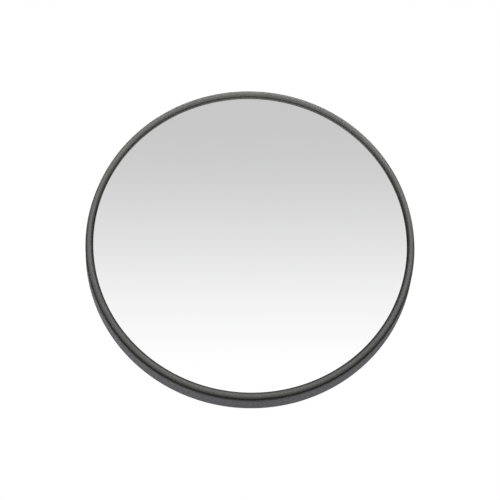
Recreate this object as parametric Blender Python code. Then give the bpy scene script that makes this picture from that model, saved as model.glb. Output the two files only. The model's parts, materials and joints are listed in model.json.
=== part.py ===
"""Convex security mirror, 18 inch, on a telescoping swivel wall bracket.

Frame: origin at the centre of the wall plate's back face, +Z up, +X to the
right. The mirror faces -Y and the wall is the plane y = 0. Lengths are in
millimetres and are turned into metres when meshes and objects are made.

The head is a stack of turned pieces on one axis. Their profiles are written as
(radius, depth), with depth 0 on the front of the lens flange and growing
towards the wall.
"""

import math
from collections import namedtuple

import bmesh
import bpy
from mathutils import Euler, Matrix, Vector

MM = 0.001
GAP = 0.3  # clearance between neighbouring pieces

# --- mirror head sizes -------------------------------------------------------
HEAD_RADIUS = 228.6  # 18 inch over the housing's side wall
BEAD_RADIUS = 227.3  # over the rubber edge
LENS_SPHERE = 616.0  # radius of the convex front
LENS_EDGE = 219.4  # where the dome meets its flat flange
LENS_BACK_EDGE = 215.9  # where the hollow back meets the flange
LENS_FLANGE = 223.5
LENS_THICK = 3.0
SEAL_IN, SEAL_OUT = 208.5, 215.5  # radii of the foam ring
SEAT_DEPTH = 5.0  # flange front to the housing's seat
HOUSING_WALL = 3.0
BOSS_DEPTH = 50.0  # flange front to the housing's back boss
BOSS_HOLE_LEN = 20.0
DRAIN_D, DRAIN_DROP, DRAIN_DEPTH = 6.0, 205.0, 42.0
HEAD_SEGMENTS = 64
FLANGE_Y = -293.0  # the lens flange's front plane

# --- wall plate and tube sizes -----------------------------------------------
PLATE_W, PLATE_H, PLATE_T, PLATE_CORNER = 100.0, 130.0, 4.0, 12.0
SCREW_X, SCREW_Z, SCREW_HOLE = 36.0, 50.0, 7.0
OUTER_TUBE, INNER_TUBE, TUBE_WALL = 35.0, 25.0, 2.0
TUBE_CORNER, TUBE_BORE_CORNER = 3.0, 1.2
OUTER_START, OUTER_LEN = PLATE_T + GAP, 130.0
INNER_START, INNER_LEN = 16.0, 134.0
GUSSET_T, GUSSET_TIP, GUSSET_X, GUSSET_Y = 3.0, 3.0, 44.0, -46.0
SLEEVE_LEN = 12.0  # of the collar and of the rear bush along the tubes
SLEEVE_BORE_CORNER = 3.2
COLLAR_T, COLLAR_CHAMFER = 3.0, 0.8
REAR_BUSH_CAP, REAR_BUSH_THROAT = 3.0, 16.0

# --- joint and clamp sizes ---------------------------------------------------
PAN_Y, TILT_Y = -172.0, -206.0
THREAD_D, THREAD_BORE = 8.0, 8.6
KNUCKLE_H = 24.0
BARREL_R, BARREL_SIDES = 12.5, 28
BUSH_BORE = 12.0
NECK_W, NECK_H, NECK_CORNER = 17.0, 19.0, 4.0
NECK_START, NECK_END = 6.0, 28.0  # distances from the pan axis
PIVOT_BORE_LEN, PIVOT_BORE_SIDES = 60.0, 20
DISC_T = 1.6
FORK_GAP = KNUCKLE_H + 2 * (DISC_T + 2 * GAP)  # between the ears of both forks
FORK_T, FORK_BEND = 3.0, 2.0
EAR_R = 15.0
EAR_FACE = FORK_GAP / 2 + FORK_T  # pin's centre to the outer face of an ear
PAN_WEB_HALF, TILT_WEB_HALF = 15.0, 20.0
LOCK_WASHER_D, LOCK_WASHER_T = 18.0, 1.6
FORK_BOLT_GRIP = 13.0  # length of shank past the washer
LOCK_POCKET_D, LOCK_POCKET_DEPTH = 14.0, 10.4
LOCK_BORE_D, LOCK_BORE_DEPTH = 9.2, 16.0
INSERT_FLATS, INSERT_H, INSERT_SETBACK = 11.5, 9.8, 0.2
KNOB_H, KNOB_HUB_R = 20.6, 9.4
KNOB_LOBES, KNOB_POINTS = 6, 36

CLAMP_Y = -114.0
CLAMP_HOLE, CLAMP_HOLE_LEN = 9.0, 12.0
CLAMP_NUT_FLATS, CLAMP_NUT_H = 13.0, 6.5
PAD_R, PAD_T, PAD_CHAMFER, PAD_GAP = 3.5, 2.2, 0.5, 0.4
CLAMP_SCREW_LEN = 29.0
CLAMP_POCKET_D, CLAMP_POCKET_DEPTH = 10.0, 1.0
CLAMP_KNOB_GAP = 3.0  # between the nut and the knob

# --- mounting sizes ----------------------------------------------------------
MOUNT_R, MOUNT_T, MOUNT_EDGE = 60.0, 3.0, 0.6
MOUNT_Y = FLANGE_Y + BOSS_DEPTH + MOUNT_T  # the plate's face towards the wall
REINFORCE_R, REINFORCE_T = 56.0, 2.0
MOUNT_SEGMENTS = 36
BOLT_PCD, BOLT_D, BOLT_HOLE = 90.0, 6.0, 6.6
BOLT_HOLE_LEN = 20.0
BOLT_FLATS, BOLT_HEAD, BOLT_SIDES = 10.0, 4.0, 12
PLATE_WASHER_D, PLATE_WASHER_T = 12.0, 1.6
PLATE_NUT_H, PLATE_NUT_COLLAR = 6.0, 1.6
BOLT_PROUD = 2.0  # shank past the nut

# --- start clean -------------------------------------------------------------
for old in list(bpy.data.objects):
    bpy.data.objects.remove(old, do_unlink=True)

collection = bpy.context.scene.collection


# --- materials ---------------------------------------------------------------
def material(name, colour, roughness, metallic=0.0):
    made = bpy.data.materials.new(name)
    made.use_nodes = True
    shader = made.node_tree.nodes["Principled BSDF"]
    shader.inputs["Base Color"].default_value = (*colour, 1.0)
    shader.inputs["Roughness"].default_value = roughness
    shader.inputs["Metallic"].default_value = metallic
    made.diffuse_color = (*colour, 1.0)
    return made


MIRROR = material(
    "mirrored_acrylic", colour=(0.93, 0.94, 0.95), roughness=0.02, metallic=1.0
)
RUBBER = material("edge_rubber", colour=(0.055, 0.055, 0.052), roughness=0.55)
FOAM = material("seal_foam", colour=(0.03, 0.03, 0.03), roughness=0.95)
ABS = material("housing_plastic", colour=(0.045, 0.046, 0.048), roughness=0.45)
PAINT = material("black_powder_coat", colour=(0.03, 0.03, 0.032), roughness=0.5)
ZINC = material(
    "zinc_plated_steel", colour=(0.62, 0.63, 0.64), roughness=0.32, metallic=1.0
)
NYLON = material("white_nylon", colour=(0.75, 0.74, 0.70), roughness=0.5)
KNOB = material("knob_plastic", colour=(0.02, 0.02, 0.02), roughness=0.4)
BRASS = material("brass", colour=(0.75, 0.56, 0.27), roughness=0.3, metallic=1.0)
CAST = material(
    "cast_aluminium", colour=(0.45, 0.46, 0.47), roughness=0.45, metallic=1.0
)


# --- placing -----------------------------------------------------------------
def turn_from(axis_x, axis_y, axis_z):
    """Rotation that sends the local axes to the three given directions."""
    return Matrix((axis_x, axis_y, axis_z)).transposed().to_euler()


# each of these is named for where local +Z points
UPRIGHT = (0.0, 0.0, 0.0)
DOWN = (math.pi, 0.0, 0.0)
TO_WALL = (-math.pi / 2, 0.0, 0.0)  # +Y; local +Y points down
AWAY = (math.pi / 2, 0.0, 0.0)  # -Y
TO_RIGHT = (0.0, math.pi / 2, 0.0)  # +X
TO_LEFT = (0.0, -math.pi / 2, 0.0)  # -X

# the pan fork opens away from the wall, with its pin upright
PAN_FORK_TURN = turn_from((0, 0, 1), (0, -1, 0), (1, 0, 0))
# a fork's side view is drawn in its (z, y), so the tool's Z lies along the pin
EAR_TRIM_TURN = turn_from((0, 0, 1), (0, 1, 0), (-1, 0, 0))

Body = namedtuple("Body", "empty at")


def pivot(name, y, parent=None):
    """An empty on the bracket's centre line, which carries one moving body."""
    empty = bpy.data.objects.new(name, None)
    empty.empty_display_size = 0.03
    collection.objects.link(empty)
    at = Vector((0, y, 0))
    base = Vector((0, 0, 0))
    if parent:
        empty.parent = parent.empty
        base = parent.at
    empty.location = (at - base) * MM
    return Body(empty, at)


def place(name, mesh, body, location, rotation, mat):
    """A piece at a point in the assembly (mm), carried by its body's pivot."""
    if mesh.users == 0:  # a shared mesh keeps its first piece's name
        mesh.name = name
    piece = bpy.data.objects.new(name, mesh)
    collection.objects.link(piece)
    piece.parent = body.empty
    piece.location = (Vector(location) - body.at) * MM
    piece.rotation_euler = rotation
    if mat.name not in mesh.materials:
        mesh.materials.append(mat)
    return piece


def on_axis(centre_y, rotation, distance):
    """The point that far along a rotation's +Z from the centre line."""
    return Vector((0, centre_y, 0)) + Euler(rotation).to_matrix() @ Vector((0, 0, distance))


# --- outlines ----------------------------------------------------------------
def arc(centre, radius, start, sweep, steps):
    return [
        (
            centre[0] + radius * math.cos(start + sweep * s / steps),
            centre[1] + radius * math.sin(start + sweep * s / steps),
        )
        for s in range(steps + 1)
    ]


def circle(radius, count):
    return [
        (
            radius * math.cos(2 * math.pi * k / count),
            radius * math.sin(2 * math.pi * k / count),
        )
        for k in range(count)
    ]


def rounded_rect(width, height, radius, steps=3):
    """Corner-rounded rectangle outline, anticlockwise, centred on the origin."""
    points = []
    for quarter, (side_x, side_y) in enumerate(((1, 1), (-1, 1), (-1, -1), (1, -1))):
        centre = (side_x * (width / 2 - radius), side_y * (height / 2 - radius))
        points += arc(centre, radius, 0.5 * math.pi * quarter, 0.5 * math.pi, steps)
    return points


def rounded_square(size, radius):
    return rounded_rect(size, size, radius)


def hexagon(across_flats):
    """Twelve points round a hexagon: its corners and its edge midpoints."""
    points = []
    for k in range(12):
        radius = across_flats / math.sqrt(3) if k % 2 == 0 else across_flats / 2
        angle = math.pi * k / 6
        points.append((radius * math.cos(angle), radius * math.sin(angle)))
    return points


def lobed(radius, depth):
    """Outline of a hand knob: a circle that dips by depth between its lobes."""
    points = []
    for k in range(KNOB_POINTS):
        angle = 2 * math.pi * k / KNOB_POINTS
        at = radius - depth * (0.5 - 0.5 * math.cos(KNOB_LOBES * angle)) ** 1.5
        points.append((at * math.cos(angle), at * math.sin(angle)))
    return points


# --- solids ------------------------------------------------------------------
def finish(build, sharp_angle):
    """Turn a bmesh into a mesh, in metres, with its faces pointing out.

    Edges steeper than sharp_angle (degrees) stay sharp; None shades flat.
    """
    bmesh.ops.recalc_face_normals(build, faces=build.faces)
    bmesh.ops.scale(build, vec=(MM, MM, MM), verts=build.verts)
    mesh = bpy.data.meshes.new("solid")
    build.to_mesh(mesh)
    build.free()
    if sharp_angle is not None:
        mesh.shade_smooth()
        mesh.set_sharp_from_angle(angle=math.radians(sharp_angle))
    return mesh


def add_ring(build, points, z):
    return [build.verts.new((x, y, z)) for x, y in points]


def bridge(build, ring, after):
    """Faces between two rings, either of which may be a single vertex."""
    if len(ring) == 1 and len(after) == 1:
        return
    count = max(len(ring), len(after))
    for k in range(count):
        n = (k + 1) % count
        if len(ring) == 1:
            build.faces.new((ring[0], after[k], after[n]))
        elif len(after) == 1:
            build.faces.new((ring[k], after[0], ring[n]))
        else:
            build.faces.new((ring[k], after[k], after[n], ring[n]))


def turned(profile, segments=HEAD_SEGMENTS, sharp_angle=30.0):
    """A solid of revolution about local Z from a closed (radius, z) outline.

    A point on the axis becomes a single vertex, so a solid disc closes there.
    """
    build = bmesh.new()
    rings = [
        add_ring(build, circle(radius, segments) if radius > 0 else [(0, 0)], z)
        for radius, z in profile
    ]
    for ring, after in zip(rings, rings[1:] + rings[:1]):
        bridge(build, ring, after)
    return finish(build, sharp_angle)


def skinned(loops, closed, sharp_angle=30.0):
    """Faces between outlines of equal point count, each given as (points, z).

    closed joins the last outline to the first, which makes a ring such as a
    tube; otherwise the first and last outlines are capped.
    """
    build = bmesh.new()
    rings = [add_ring(build, points, z) for points, z in loops]
    for ring, after in zip(rings, rings[1:]):
        bridge(build, ring, after)
    if closed:
        bridge(build, rings[-1], rings[0])
    else:
        build.faces.new(rings[0])
        build.faces.new(list(reversed(rings[-1])))
    return finish(build, sharp_angle)


def extruded(outline, low, high, sharp_angle=30.0):
    """A straight prism of an outline between two heights on local Z."""
    build = bmesh.new()
    face = build.faces.new(add_ring(build, outline, low))
    grown = bmesh.ops.extrude_face_region(build, geom=[face])
    top = [v for v in grown["geom"] if isinstance(v, bmesh.types.BMVert)]
    bmesh.ops.translate(build, verts=top, vec=(0, 0, high - low))
    return finish(build, sharp_angle)


# --- Booleans ----------------------------------------------------------------
def boolean(owner, name, mesh, operation, location=(0, 0, 0), rotation=UPRIGHT):
    """Combine the owner with a hidden tool body placed in the owner's frame."""
    mesh.name = name
    tool = bpy.data.objects.new(name, mesh)
    collection.objects.link(tool)
    tool.parent = owner
    tool.location = Vector(location) * MM
    tool.rotation_euler = rotation
    tool.hide_render = True
    tool.display_type = "WIRE"
    step = owner.modifiers.new(tool.name, "BOOLEAN")
    step.operation = operation
    step.solver = "EXACT"
    step.object = tool


def drill(owner, name, diameter, location, rotation=UPRIGHT, length=30.0, sides=16):
    """A straight hole through the owner, along the tool's local Z."""
    mesh = extruded(circle(diameter / 2, sides), -length / 2, length / 2)
    boolean(owner, name, mesh, "DIFFERENCE", location, rotation)


# --- standard parts ----------------------------------------------------------
def hex_head_bolt(diameter, length, flats, head):
    """Hexagon head on +Z from z = 0, plain shank down to -length."""
    crown = [(x * 0.9, y * 0.9) for x, y in hexagon(flats)]
    shank = circle(diameter / 2, 12)
    loops = [
        (crown, head),
        (hexagon(flats), head - 0.6),
        (hexagon(flats), 0.0),
        (shank, 0.0),
        (shank, -length + 0.8),
        (circle(diameter / 2 * 0.8, 12), -length),
    ]
    return skinned(loops, closed=False)


def nut(bore, flats, height, collar=0.0):
    """Hexagon nut on z = 0..height; collar adds the round neck that holds a
    nylon locking ring."""
    hole = circle(bore / 2, 12)
    neck = circle(flats / 2 * 0.92, 12)
    loops = [(hole, 0.0), (hexagon(flats), 0.0), (hexagon(flats), height - collar - 0.4)]
    if collar:
        loops.append((neck, height - collar))
    loops += [(neck, height), (hole, height)]
    return skinned(loops, closed=True)


def washer(bore, outer, thick, sides=20):
    """Flat ring, or a bush when it is long, on z = 0..thick."""
    hole, rim = circle(bore / 2, sides), circle(outer / 2, sides)
    return skinned([(hole, 0.0), (rim, 0.0), (rim, thick), (hole, thick)], closed=True)


def hand_knob(pocket_d, pocket_depth, bore_d, bore_depth):
    """Six-lobed knob: hub at z = 0, lobes above, open pocket in its hub."""
    bore = circle(bore_d / 2, KNOB_POINTS)
    pocket = circle(pocket_d / 2, KNOB_POINTS)
    hub = circle(KNOB_HUB_R, KNOB_POINTS)
    loops = [
        (bore, bore_depth),
        (bore, pocket_depth),
        (pocket, pocket_depth),
        (pocket, 0.0),
        (hub, 0.0),
        (hub, 7.4),
        (lobed(17.6, 3.2), 8.4),
        (lobed(18.0, 3.2), KNOB_H - 2.2),
        (lobed(16.4, 3.0), KNOB_H),
        (circle(9.0, KNOB_POINTS), KNOB_H + 0.4),
    ]
    return skinned(loops, closed=False, sharp_angle=40.0)


def carriage_bolt(length):
    """Domed head above z = 0 and a plain shank to -length."""
    profile = [  # (radius, z)
        (0.0, 4.6),
        (4.0, 4.2),
        (7.2, 2.9),
        (9.0, 0.6),
        (9.0, 0.0),
        (THREAD_D / 2, 0.0),
        (THREAD_D / 2, -length + 0.8),
        (THREAD_D / 2 - 0.8, -length),
        (0.0, -length),
    ]
    return turned(profile, segments=20, sharp_angle=40.0)


def square_tube(size, length):
    """Square tube from z = 0 down to -length."""
    outer = rounded_square(size, TUBE_CORNER)
    inner = rounded_square(size - 2 * TUBE_WALL, TUBE_BORE_CORNER)
    loops = [(outer, 0.0), (outer, -length), (inner, -length), (inner, 0.0)]
    return skinned(loops, closed=True)


# --- forks -------------------------------------------------------------------
def u_section(reach, tip):
    """Outline, in (x, y), of strip bent to a U: its web's far face is at
    y = -reach and its ears end at y = tip."""
    inner = FORK_GAP / 2
    outer = inner + FORK_T
    bend_out = FORK_BEND + FORK_T
    quarter = 0.5 * math.pi
    # both bends share one centre
    centre = (inner - FORK_BEND, -reach + bend_out)
    right = (
        arc(centre, bend_out, -quarter, quarter, 3)
        + [(outer, tip), (inner, tip)]
        + arc(centre, FORK_BEND, 0.0, -quarter, 3)
    )
    return right + [(-x, y) for x, y in reversed(right)]


def ear_outline(reach, web_half):
    """Side view, in (z, y), of the same bracket: straight at the web, then
    tapering into an arc about the pin."""
    start = math.radians(-8.0)
    web = [
        (-web_half, -reach + 8.0),
        (-web_half, -reach - 1.0),
        (web_half, -reach - 1.0),
        (web_half, -reach + 8.0),
    ]
    return arc((0, 0), EAR_R, start, math.pi - 2 * start, 10) + web


def fork_bracket(name, body, pin_y, rotation, reach, web_half):
    """A welded fork: the bent U trimmed to its side view and drilled."""
    blank_half = web_half + 5.0
    blank = extruded(u_section(reach, EAR_R + 2.0), -blank_half, blank_half)
    fork = place(name, blank, body, (0, pin_y, 0), rotation, PAINT)
    side = extruded(ear_outline(reach, web_half), -30.0, 30.0)
    boolean(fork, name + "_trim", side, "INTERSECT", rotation=EAR_TRIM_TURN)
    drill(
        fork,
        name + "_bore",
        THREAD_BORE,
        (0, 0, 0),
        TO_RIGHT,
        PIVOT_BORE_LEN,
        PIVOT_BORE_SIDES,
    )


# --- bodies ------------------------------------------------------------------
wall_bracket = pivot("wall_bracket", 0)
extension_arm = pivot("extension_arm", -INNER_START, wall_bracket)
clamp_pad_body = pivot("clamp_pad_slide", CLAMP_Y, wall_bracket)
clamp_knob_body = pivot("clamp_screw_turn", CLAMP_Y, clamp_pad_body)
pan_washer_body = pivot("pan_washer_slide", PAN_Y, extension_arm)
pan_knob_body = pivot("pan_knob_turn", PAN_Y, pan_washer_body)
knuckle_body = pivot("pan_axis", PAN_Y, extension_arm)
mirror_head = pivot("tilt_axis", TILT_Y, knuckle_body)
tilt_washer_body = pivot("tilt_washer_slide", TILT_Y, mirror_head)
tilt_knob_body = pivot("tilt_knob_turn", TILT_Y, tilt_washer_body)

# --- wall plate --------------------------------------------------------------
plate = place(
    "wall_plate",
    extruded(rounded_rect(PLATE_W, PLATE_H, PLATE_CORNER, 4), -PLATE_T, 0.0),
    wall_bracket,
    (0, 0, 0),
    TO_WALL,
    PAINT,
)
for i, (side_x, side_y) in enumerate(((-1, 1), (1, 1), (-1, -1), (1, -1))):
    drill(
        plate,
        f"wall_screw_hole_{i + 1}",
        SCREW_HOLE,
        (side_x * SCREW_X, side_y * SCREW_Z, 0),
    )

# --- outer tube, with the clamp screw's hole in its right wall ---------------
outer_tube = place(
    "outer_tube",
    square_tube(OUTER_TUBE, OUTER_LEN),
    wall_bracket,
    (0, -OUTER_START, 0),
    TO_WALL,
    PAINT,
)
drill(
    outer_tube,
    "clamp_hole",
    CLAMP_HOLE,
    (OUTER_TUBE / 2, 0, CLAMP_Y + OUTER_START),
    TO_RIGHT,
    CLAMP_HOLE_LEN,
)

# --- gussets between the wall plate and the tube's sides ---------------------
beside_tube = OUTER_TUBE / 2 + GAP
gusset_outline = [  # (x, y), right-hand side
    (beside_tube, -OUTER_START),
    (beside_tube, GUSSET_Y),
    (beside_tube + GUSSET_TIP, GUSSET_Y),
    (GUSSET_X, -OUTER_START - GUSSET_TIP),
    (GUSSET_X, -OUTER_START),
]
for side, name in ((1, "gusset_right"), (-1, "gusset_left")):
    outline = [(side * x, y) for x, y in gusset_outline]
    gusset = extruded(outline, -GUSSET_T / 2, GUSSET_T / 2, sharp_angle=None)
    place(name, gusset, wall_bracket, (0, 0, 0), UPRIGHT, PAINT)

# --- collar in the outer tube's mouth ----------------------------------------
sleeve_out = rounded_square(OUTER_TUBE - 2 * TUBE_WALL - 2 * GAP, 1.0)
sleeve_in = rounded_square(INNER_TUBE + 2 * GAP, SLEEVE_BORE_CORNER)
collar_rim = rounded_square(OUTER_TUBE, TUBE_CORNER)
collar_edge = rounded_square(OUTER_TUBE - 2 * COLLAR_CHAMFER, 2.4)
collar_loops = [
    (sleeve_out, SLEEVE_LEN),
    (sleeve_out, -GAP),
    (collar_rim, -GAP),
    (collar_rim, -GAP - COLLAR_T + COLLAR_CHAMFER),
    (collar_edge, -GAP - COLLAR_T),
    (sleeve_in, -GAP - COLLAR_T),
    (sleeve_in, SLEEVE_LEN),
]
place(
    "tube_collar",
    skinned(collar_loops, closed=True),
    wall_bracket,
    (0, -OUTER_START - OUTER_LEN, 0),
    TO_WALL,
    KNOB,
)

# --- extension clamp: a screw that drives a brass pad on the inner tube ------
pad_x = INNER_TUBE / 2 + PAD_GAP
screw_x = pad_x + PAD_T + GAP
clamp_nut_x = OUTER_TUBE / 2 + GAP
clamp_knob_x = clamp_nut_x + CLAMP_NUT_H + CLAMP_KNOB_GAP
clamp_bore_depth = screw_x + CLAMP_SCREW_LEN + GAP - clamp_knob_x

pad_profile = [  # (radius, z)
    (0.0, PAD_T),
    (PAD_R - PAD_CHAMFER, PAD_T),
    (PAD_R, PAD_T - PAD_CHAMFER),
    (PAD_R, 0.0),
    (0.0, 0.0),
]
screw_profile = [  # (radius, z)
    (0.0, CLAMP_SCREW_LEN),
    (THREAD_D / 2 - 0.6, CLAMP_SCREW_LEN),
    (THREAD_D / 2, CLAMP_SCREW_LEN - 0.8),
    (THREAD_D / 2, 0.8),
    (THREAD_D / 2 - 0.8, 0.0),
    (0.0, 0.0),
]
clamp_nut = nut(THREAD_BORE, CLAMP_NUT_FLATS, CLAMP_NUT_H)
clamp_pad = turned(pad_profile, segments=16)
clamp_screw = turned(screw_profile, segments=16)
clamp_knob = hand_knob(CLAMP_POCKET_D, CLAMP_POCKET_DEPTH, THREAD_BORE, clamp_bore_depth)
for name, mesh, body, x, mat in (
    ("clamp_nut", clamp_nut, wall_bracket, clamp_nut_x, PAINT),
    ("clamp_pad", clamp_pad, clamp_pad_body, pad_x, BRASS),
    ("clamp_screw", clamp_screw, clamp_knob_body, screw_x, ZINC),
    ("clamp_knob", clamp_knob, clamp_knob_body, clamp_knob_x, KNOB),
):
    place(name, mesh, body, (x, CLAMP_Y, 0), TO_RIGHT, mat)

# --- extension arm: inner tube, its rear bush and the pan fork ---------------
place(
    "extension_tube",
    square_tube(INNER_TUBE, INNER_LEN),
    extension_arm,
    (0, -INNER_START, 0),
    TO_WALL,
    ZINC,
)
bush_throat = rounded_square(REAR_BUSH_THROAT, SLEEVE_BORE_CORNER)
bush_loops = [
    (sleeve_out, -SLEEVE_LEN),
    (sleeve_out, REAR_BUSH_CAP),
    (bush_throat, REAR_BUSH_CAP),
    (bush_throat, GAP),
    (sleeve_in, GAP),
    (sleeve_in, -SLEEVE_LEN),
]
place(
    "rear_slide_bush",
    skinned(bush_loops, closed=True),
    extension_arm,
    (0, -INNER_START, 0),
    TO_WALL,
    NYLON,
)
fork_bracket(
    "pan_fork",
    extension_arm,
    PAN_Y,
    PAN_FORK_TURN,
    reach=-PAN_Y - INNER_START - INNER_LEN - GAP,
    web_half=PAN_WEB_HALF,
)

# --- swivel knuckle: two crossed barrels joined by a neck --------------------
tilt_centre = (0, TILT_Y - PAN_Y, 0)  # from the knuckle's origin on the pan axis


def barrel():
    return extruded(circle(BARREL_R, BARREL_SIDES), -KNUCKLE_H / 2, KNUCKLE_H / 2)


knuckle = place("swivel_knuckle", barrel(), knuckle_body, (0, PAN_Y, 0), UPRIGHT, CAST)
boolean(knuckle, "knuckle_cross_barrel", barrel(), "UNION", tilt_centre, TO_RIGHT)
neck = extruded(rounded_rect(NECK_W, NECK_H, NECK_CORNER, 2), NECK_START, NECK_END)
boolean(knuckle, "knuckle_neck", neck, "UNION", rotation=AWAY)
for name, centre, turn in (
    ("pan_bush_bore", (0, 0, 0), UPRIGHT),
    ("tilt_bush_bore", tilt_centre, TO_RIGHT),
):
    drill(knuckle, name, BUSH_BORE, centre, turn, PIVOT_BORE_LEN, PIVOT_BORE_SIDES)

# bushes in the barrels, and friction discs on their ends
bush_mesh = washer(THREAD_BORE, BUSH_BORE - 2 * GAP, KNUCKLE_H)
for name, y, turn in (("pan_bush", PAN_Y, UPRIGHT), ("tilt_bush", TILT_Y, TO_RIGHT)):
    place(name, bush_mesh, knuckle_body, on_axis(y, turn, -KNUCKLE_H / 2), turn, NYLON)

disc_mesh = washer(THREAD_BORE, 2 * BARREL_R, DISC_T)
for name, y, turn in (
    ("pan_friction_disc_upper", PAN_Y, UPRIGHT),
    ("pan_friction_disc_lower", PAN_Y, DOWN),
    ("tilt_friction_disc_right", TILT_Y, TO_RIGHT),
    ("tilt_friction_disc_left", TILT_Y, TO_LEFT),
):
    at = on_axis(y, turn, KNUCKLE_H / 2 + GAP)
    place(name, disc_mesh, knuckle_body, at, turn, NYLON)

# --- tilt fork ---------------------------------------------------------------
fork_bracket(
    "tilt_fork",
    mirror_head,
    TILT_Y,
    UPRIGHT,
    reach=TILT_Y - MOUNT_Y - GAP,
    web_half=TILT_WEB_HALF,
)

# --- pan and tilt locks: bolt through the fork, washer and hand knob ---------
bolt_mesh = carriage_bolt(
    FORK_GAP + 2 * FORK_T + 3 * GAP + LOCK_WASHER_T + FORK_BOLT_GRIP
)
lock_washer_mesh = washer(THREAD_BORE + 0.2, LOCK_WASHER_D, LOCK_WASHER_T)
lock_knob_mesh = hand_knob(
    LOCK_POCKET_D, LOCK_POCKET_DEPTH, LOCK_BORE_D, LOCK_BORE_DEPTH
)
insert_mesh = nut(THREAD_BORE, INSERT_FLATS, INSERT_H)


def joint_lock(joint, y, bolt_body, washer_body, knob_body, head_turn, knob_turn):
    """The bolt's head faces along head_turn, and the knob the opposite way."""
    face = EAR_FACE + GAP
    knob_face = face + LOCK_WASHER_T + GAP
    for part, mesh, body, turn, distance, mat in (
        ("bolt", bolt_mesh, bolt_body, head_turn, face, ZINC),
        ("knob_washer", lock_washer_mesh, washer_body, knob_turn, face, ZINC),
        ("knob", lock_knob_mesh, knob_body, knob_turn, knob_face, KNOB),
        ("knob_insert", insert_mesh, knob_body, knob_turn, knob_face + INSERT_SETBACK, BRASS),
    ):
        place(f"{joint}_{part}", mesh, body, on_axis(y, turn, distance), turn, mat)


joint_lock("pan", PAN_Y, extension_arm, pan_washer_body, pan_knob_body, UPRIGHT, DOWN)
joint_lock(
    "tilt", TILT_Y, mirror_head, tilt_washer_body, tilt_knob_body, TO_LEFT, TO_RIGHT
)

# --- mounting plate behind the housing, reinforcing plate inside it ----------
mount_profile = [  # (radius, z)
    (0.0, MOUNT_T),
    (0.0, 0.0),
    (MOUNT_R - MOUNT_EDGE, 0.0),
    (MOUNT_R, MOUNT_EDGE),
    (MOUNT_R, MOUNT_T - MOUNT_EDGE),
    (MOUNT_R - MOUNT_EDGE, MOUNT_T),
]
mount = place(
    "mounting_plate",
    turned(mount_profile, segments=MOUNT_SEGMENTS),
    mirror_head,
    (0, MOUNT_Y - MOUNT_T, 0),
    TO_WALL,
    PAINT,
)
reinforce_profile = [  # (radius, z)
    (0.0, REINFORCE_T),
    (0.0, 0.0),
    (REINFORCE_R, 0.0),
    (REINFORCE_R, REINFORCE_T),
]
reinforce_y = FLANGE_Y + BOSS_DEPTH - HOUSING_WALL - GAP - REINFORCE_T
reinforce = place(
    "reinforcing_plate",
    turned(reinforce_profile, segments=MOUNT_SEGMENTS),
    mirror_head,
    (0, reinforce_y, 0),
    TO_WALL,
    ZINC,
)

# --- mirror head: the turned stack -------------------------------------------
def dome(radius, centre, outer, steps):
    """Points of a sphere's front from the axis out to a radius."""
    return [
        (
            outer * s / steps,
            centre - math.sqrt(radius**2 - (outer * s / steps) ** 2),
        )
        for s in range(steps + 1)
    ]


def head_piece(name, profile, mat, sharp_angle=30.0):
    mesh = turned(profile, sharp_angle=sharp_angle)
    return place(name, mesh, mirror_head, (0, FLANGE_Y, 0), TO_WALL, mat)


# lens: convex front, hollow back and a flat flange round the edge
sphere_centre = math.sqrt(LENS_SPHERE**2 - LENS_EDGE**2)
rise = LENS_SPHERE - sphere_centre
back_radius = (LENS_BACK_EDGE**2 + rise**2) / (2 * rise)
back_centre = back_radius - rise + LENS_THICK
lens_profile = (
    dome(LENS_SPHERE, sphere_centre, LENS_EDGE, 6)
    + [(LENS_FLANGE, 0.0), (LENS_FLANGE, LENS_THICK)]
    + list(reversed(dome(back_radius, back_centre, LENS_BACK_EDGE, 4)))
)
head_piece("mirror_lens", lens_profile, MIRROR, sharp_angle=12.0)

# foam ring between the lens and the housing's seat
seal_profile = [  # (radius, depth)
    (SEAL_IN, LENS_THICK + GAP),
    (SEAL_OUT, LENS_THICK + GAP),
    (SEAL_OUT, SEAT_DEPTH - GAP),
    (SEAL_IN, SEAT_DEPTH - GAP),
]
head_piece("lens_seal_ring", seal_profile, FOAM)

# rubber edge: a rounded bead in front and a channel that grips the lens flange
# and the housing flange behind it
gasket_profile = [  # (radius, depth)
    # bead
    (LENS_EDGE, -GAP), (219.3, -1.8), (220.4, -4.2), (222.9, -5.3), (225.3, -4.25),
    (226.8, -1.8), (BEAD_RADIUS, 1.2), (226.7, 3.7), (225.4, 5.3), (224.6, 5.9),
    (224.4, 7.2),
    # channel
    (220.5, 7.2), (220.5, 5.6), (LENS_FLANGE + GAP, 5.6), (LENS_FLANGE + GAP, -GAP),
]
head_piece("rim_gasket", gasket_profile, RUBBER, sharp_angle=40.0)

# rear housing: a moulded pan, seat and lens ledge in front, groove for the
# rubber, side wall with draft, stepped back and a flat mounting boss
housing_profile = [  # (radius, depth)
    # seat, ledge and groove
    (207.0, SEAT_DEPTH), (216.2, SEAT_DEPTH), (216.2, 3.3), (223.3, 3.3), (223.3, 5.3),
    (220.0, 5.3), (220.0, 7.7), (224.4, 7.7), (224.7, 10.6), (226.2, 10.6),
    # side wall and back corner
    (226.3, 8.4), (227.9, 8.1), (HEAD_RADIUS, 8.9),
    (228.3, 38.2), (227.4, 40.7), (225.2, 41.8),
    # stepped back
    (192.0, 44.6), (187.0, 47.0), (74.0, 48.2), (68.0, BOSS_DEPTH), (0.0, BOSS_DEPTH),
    # inside, from the boss outwards and forward to the back of the seat
    (0.0, BOSS_DEPTH - HOUSING_WALL), (66.4, BOSS_DEPTH - HOUSING_WALL),
    (72.4, 45.2), (185.8, 44.0), (190.8, 41.6), (223.2, 38.8),
    (225.4, 36.6), (225.6, 17.0), (221.6, 14.6), (221.5, 10.9), (216.6, 10.8),
    (216.2, 8.2), (207.0, 8.2),
]
housing = head_piece("rear_housing", housing_profile, ABS)

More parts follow.
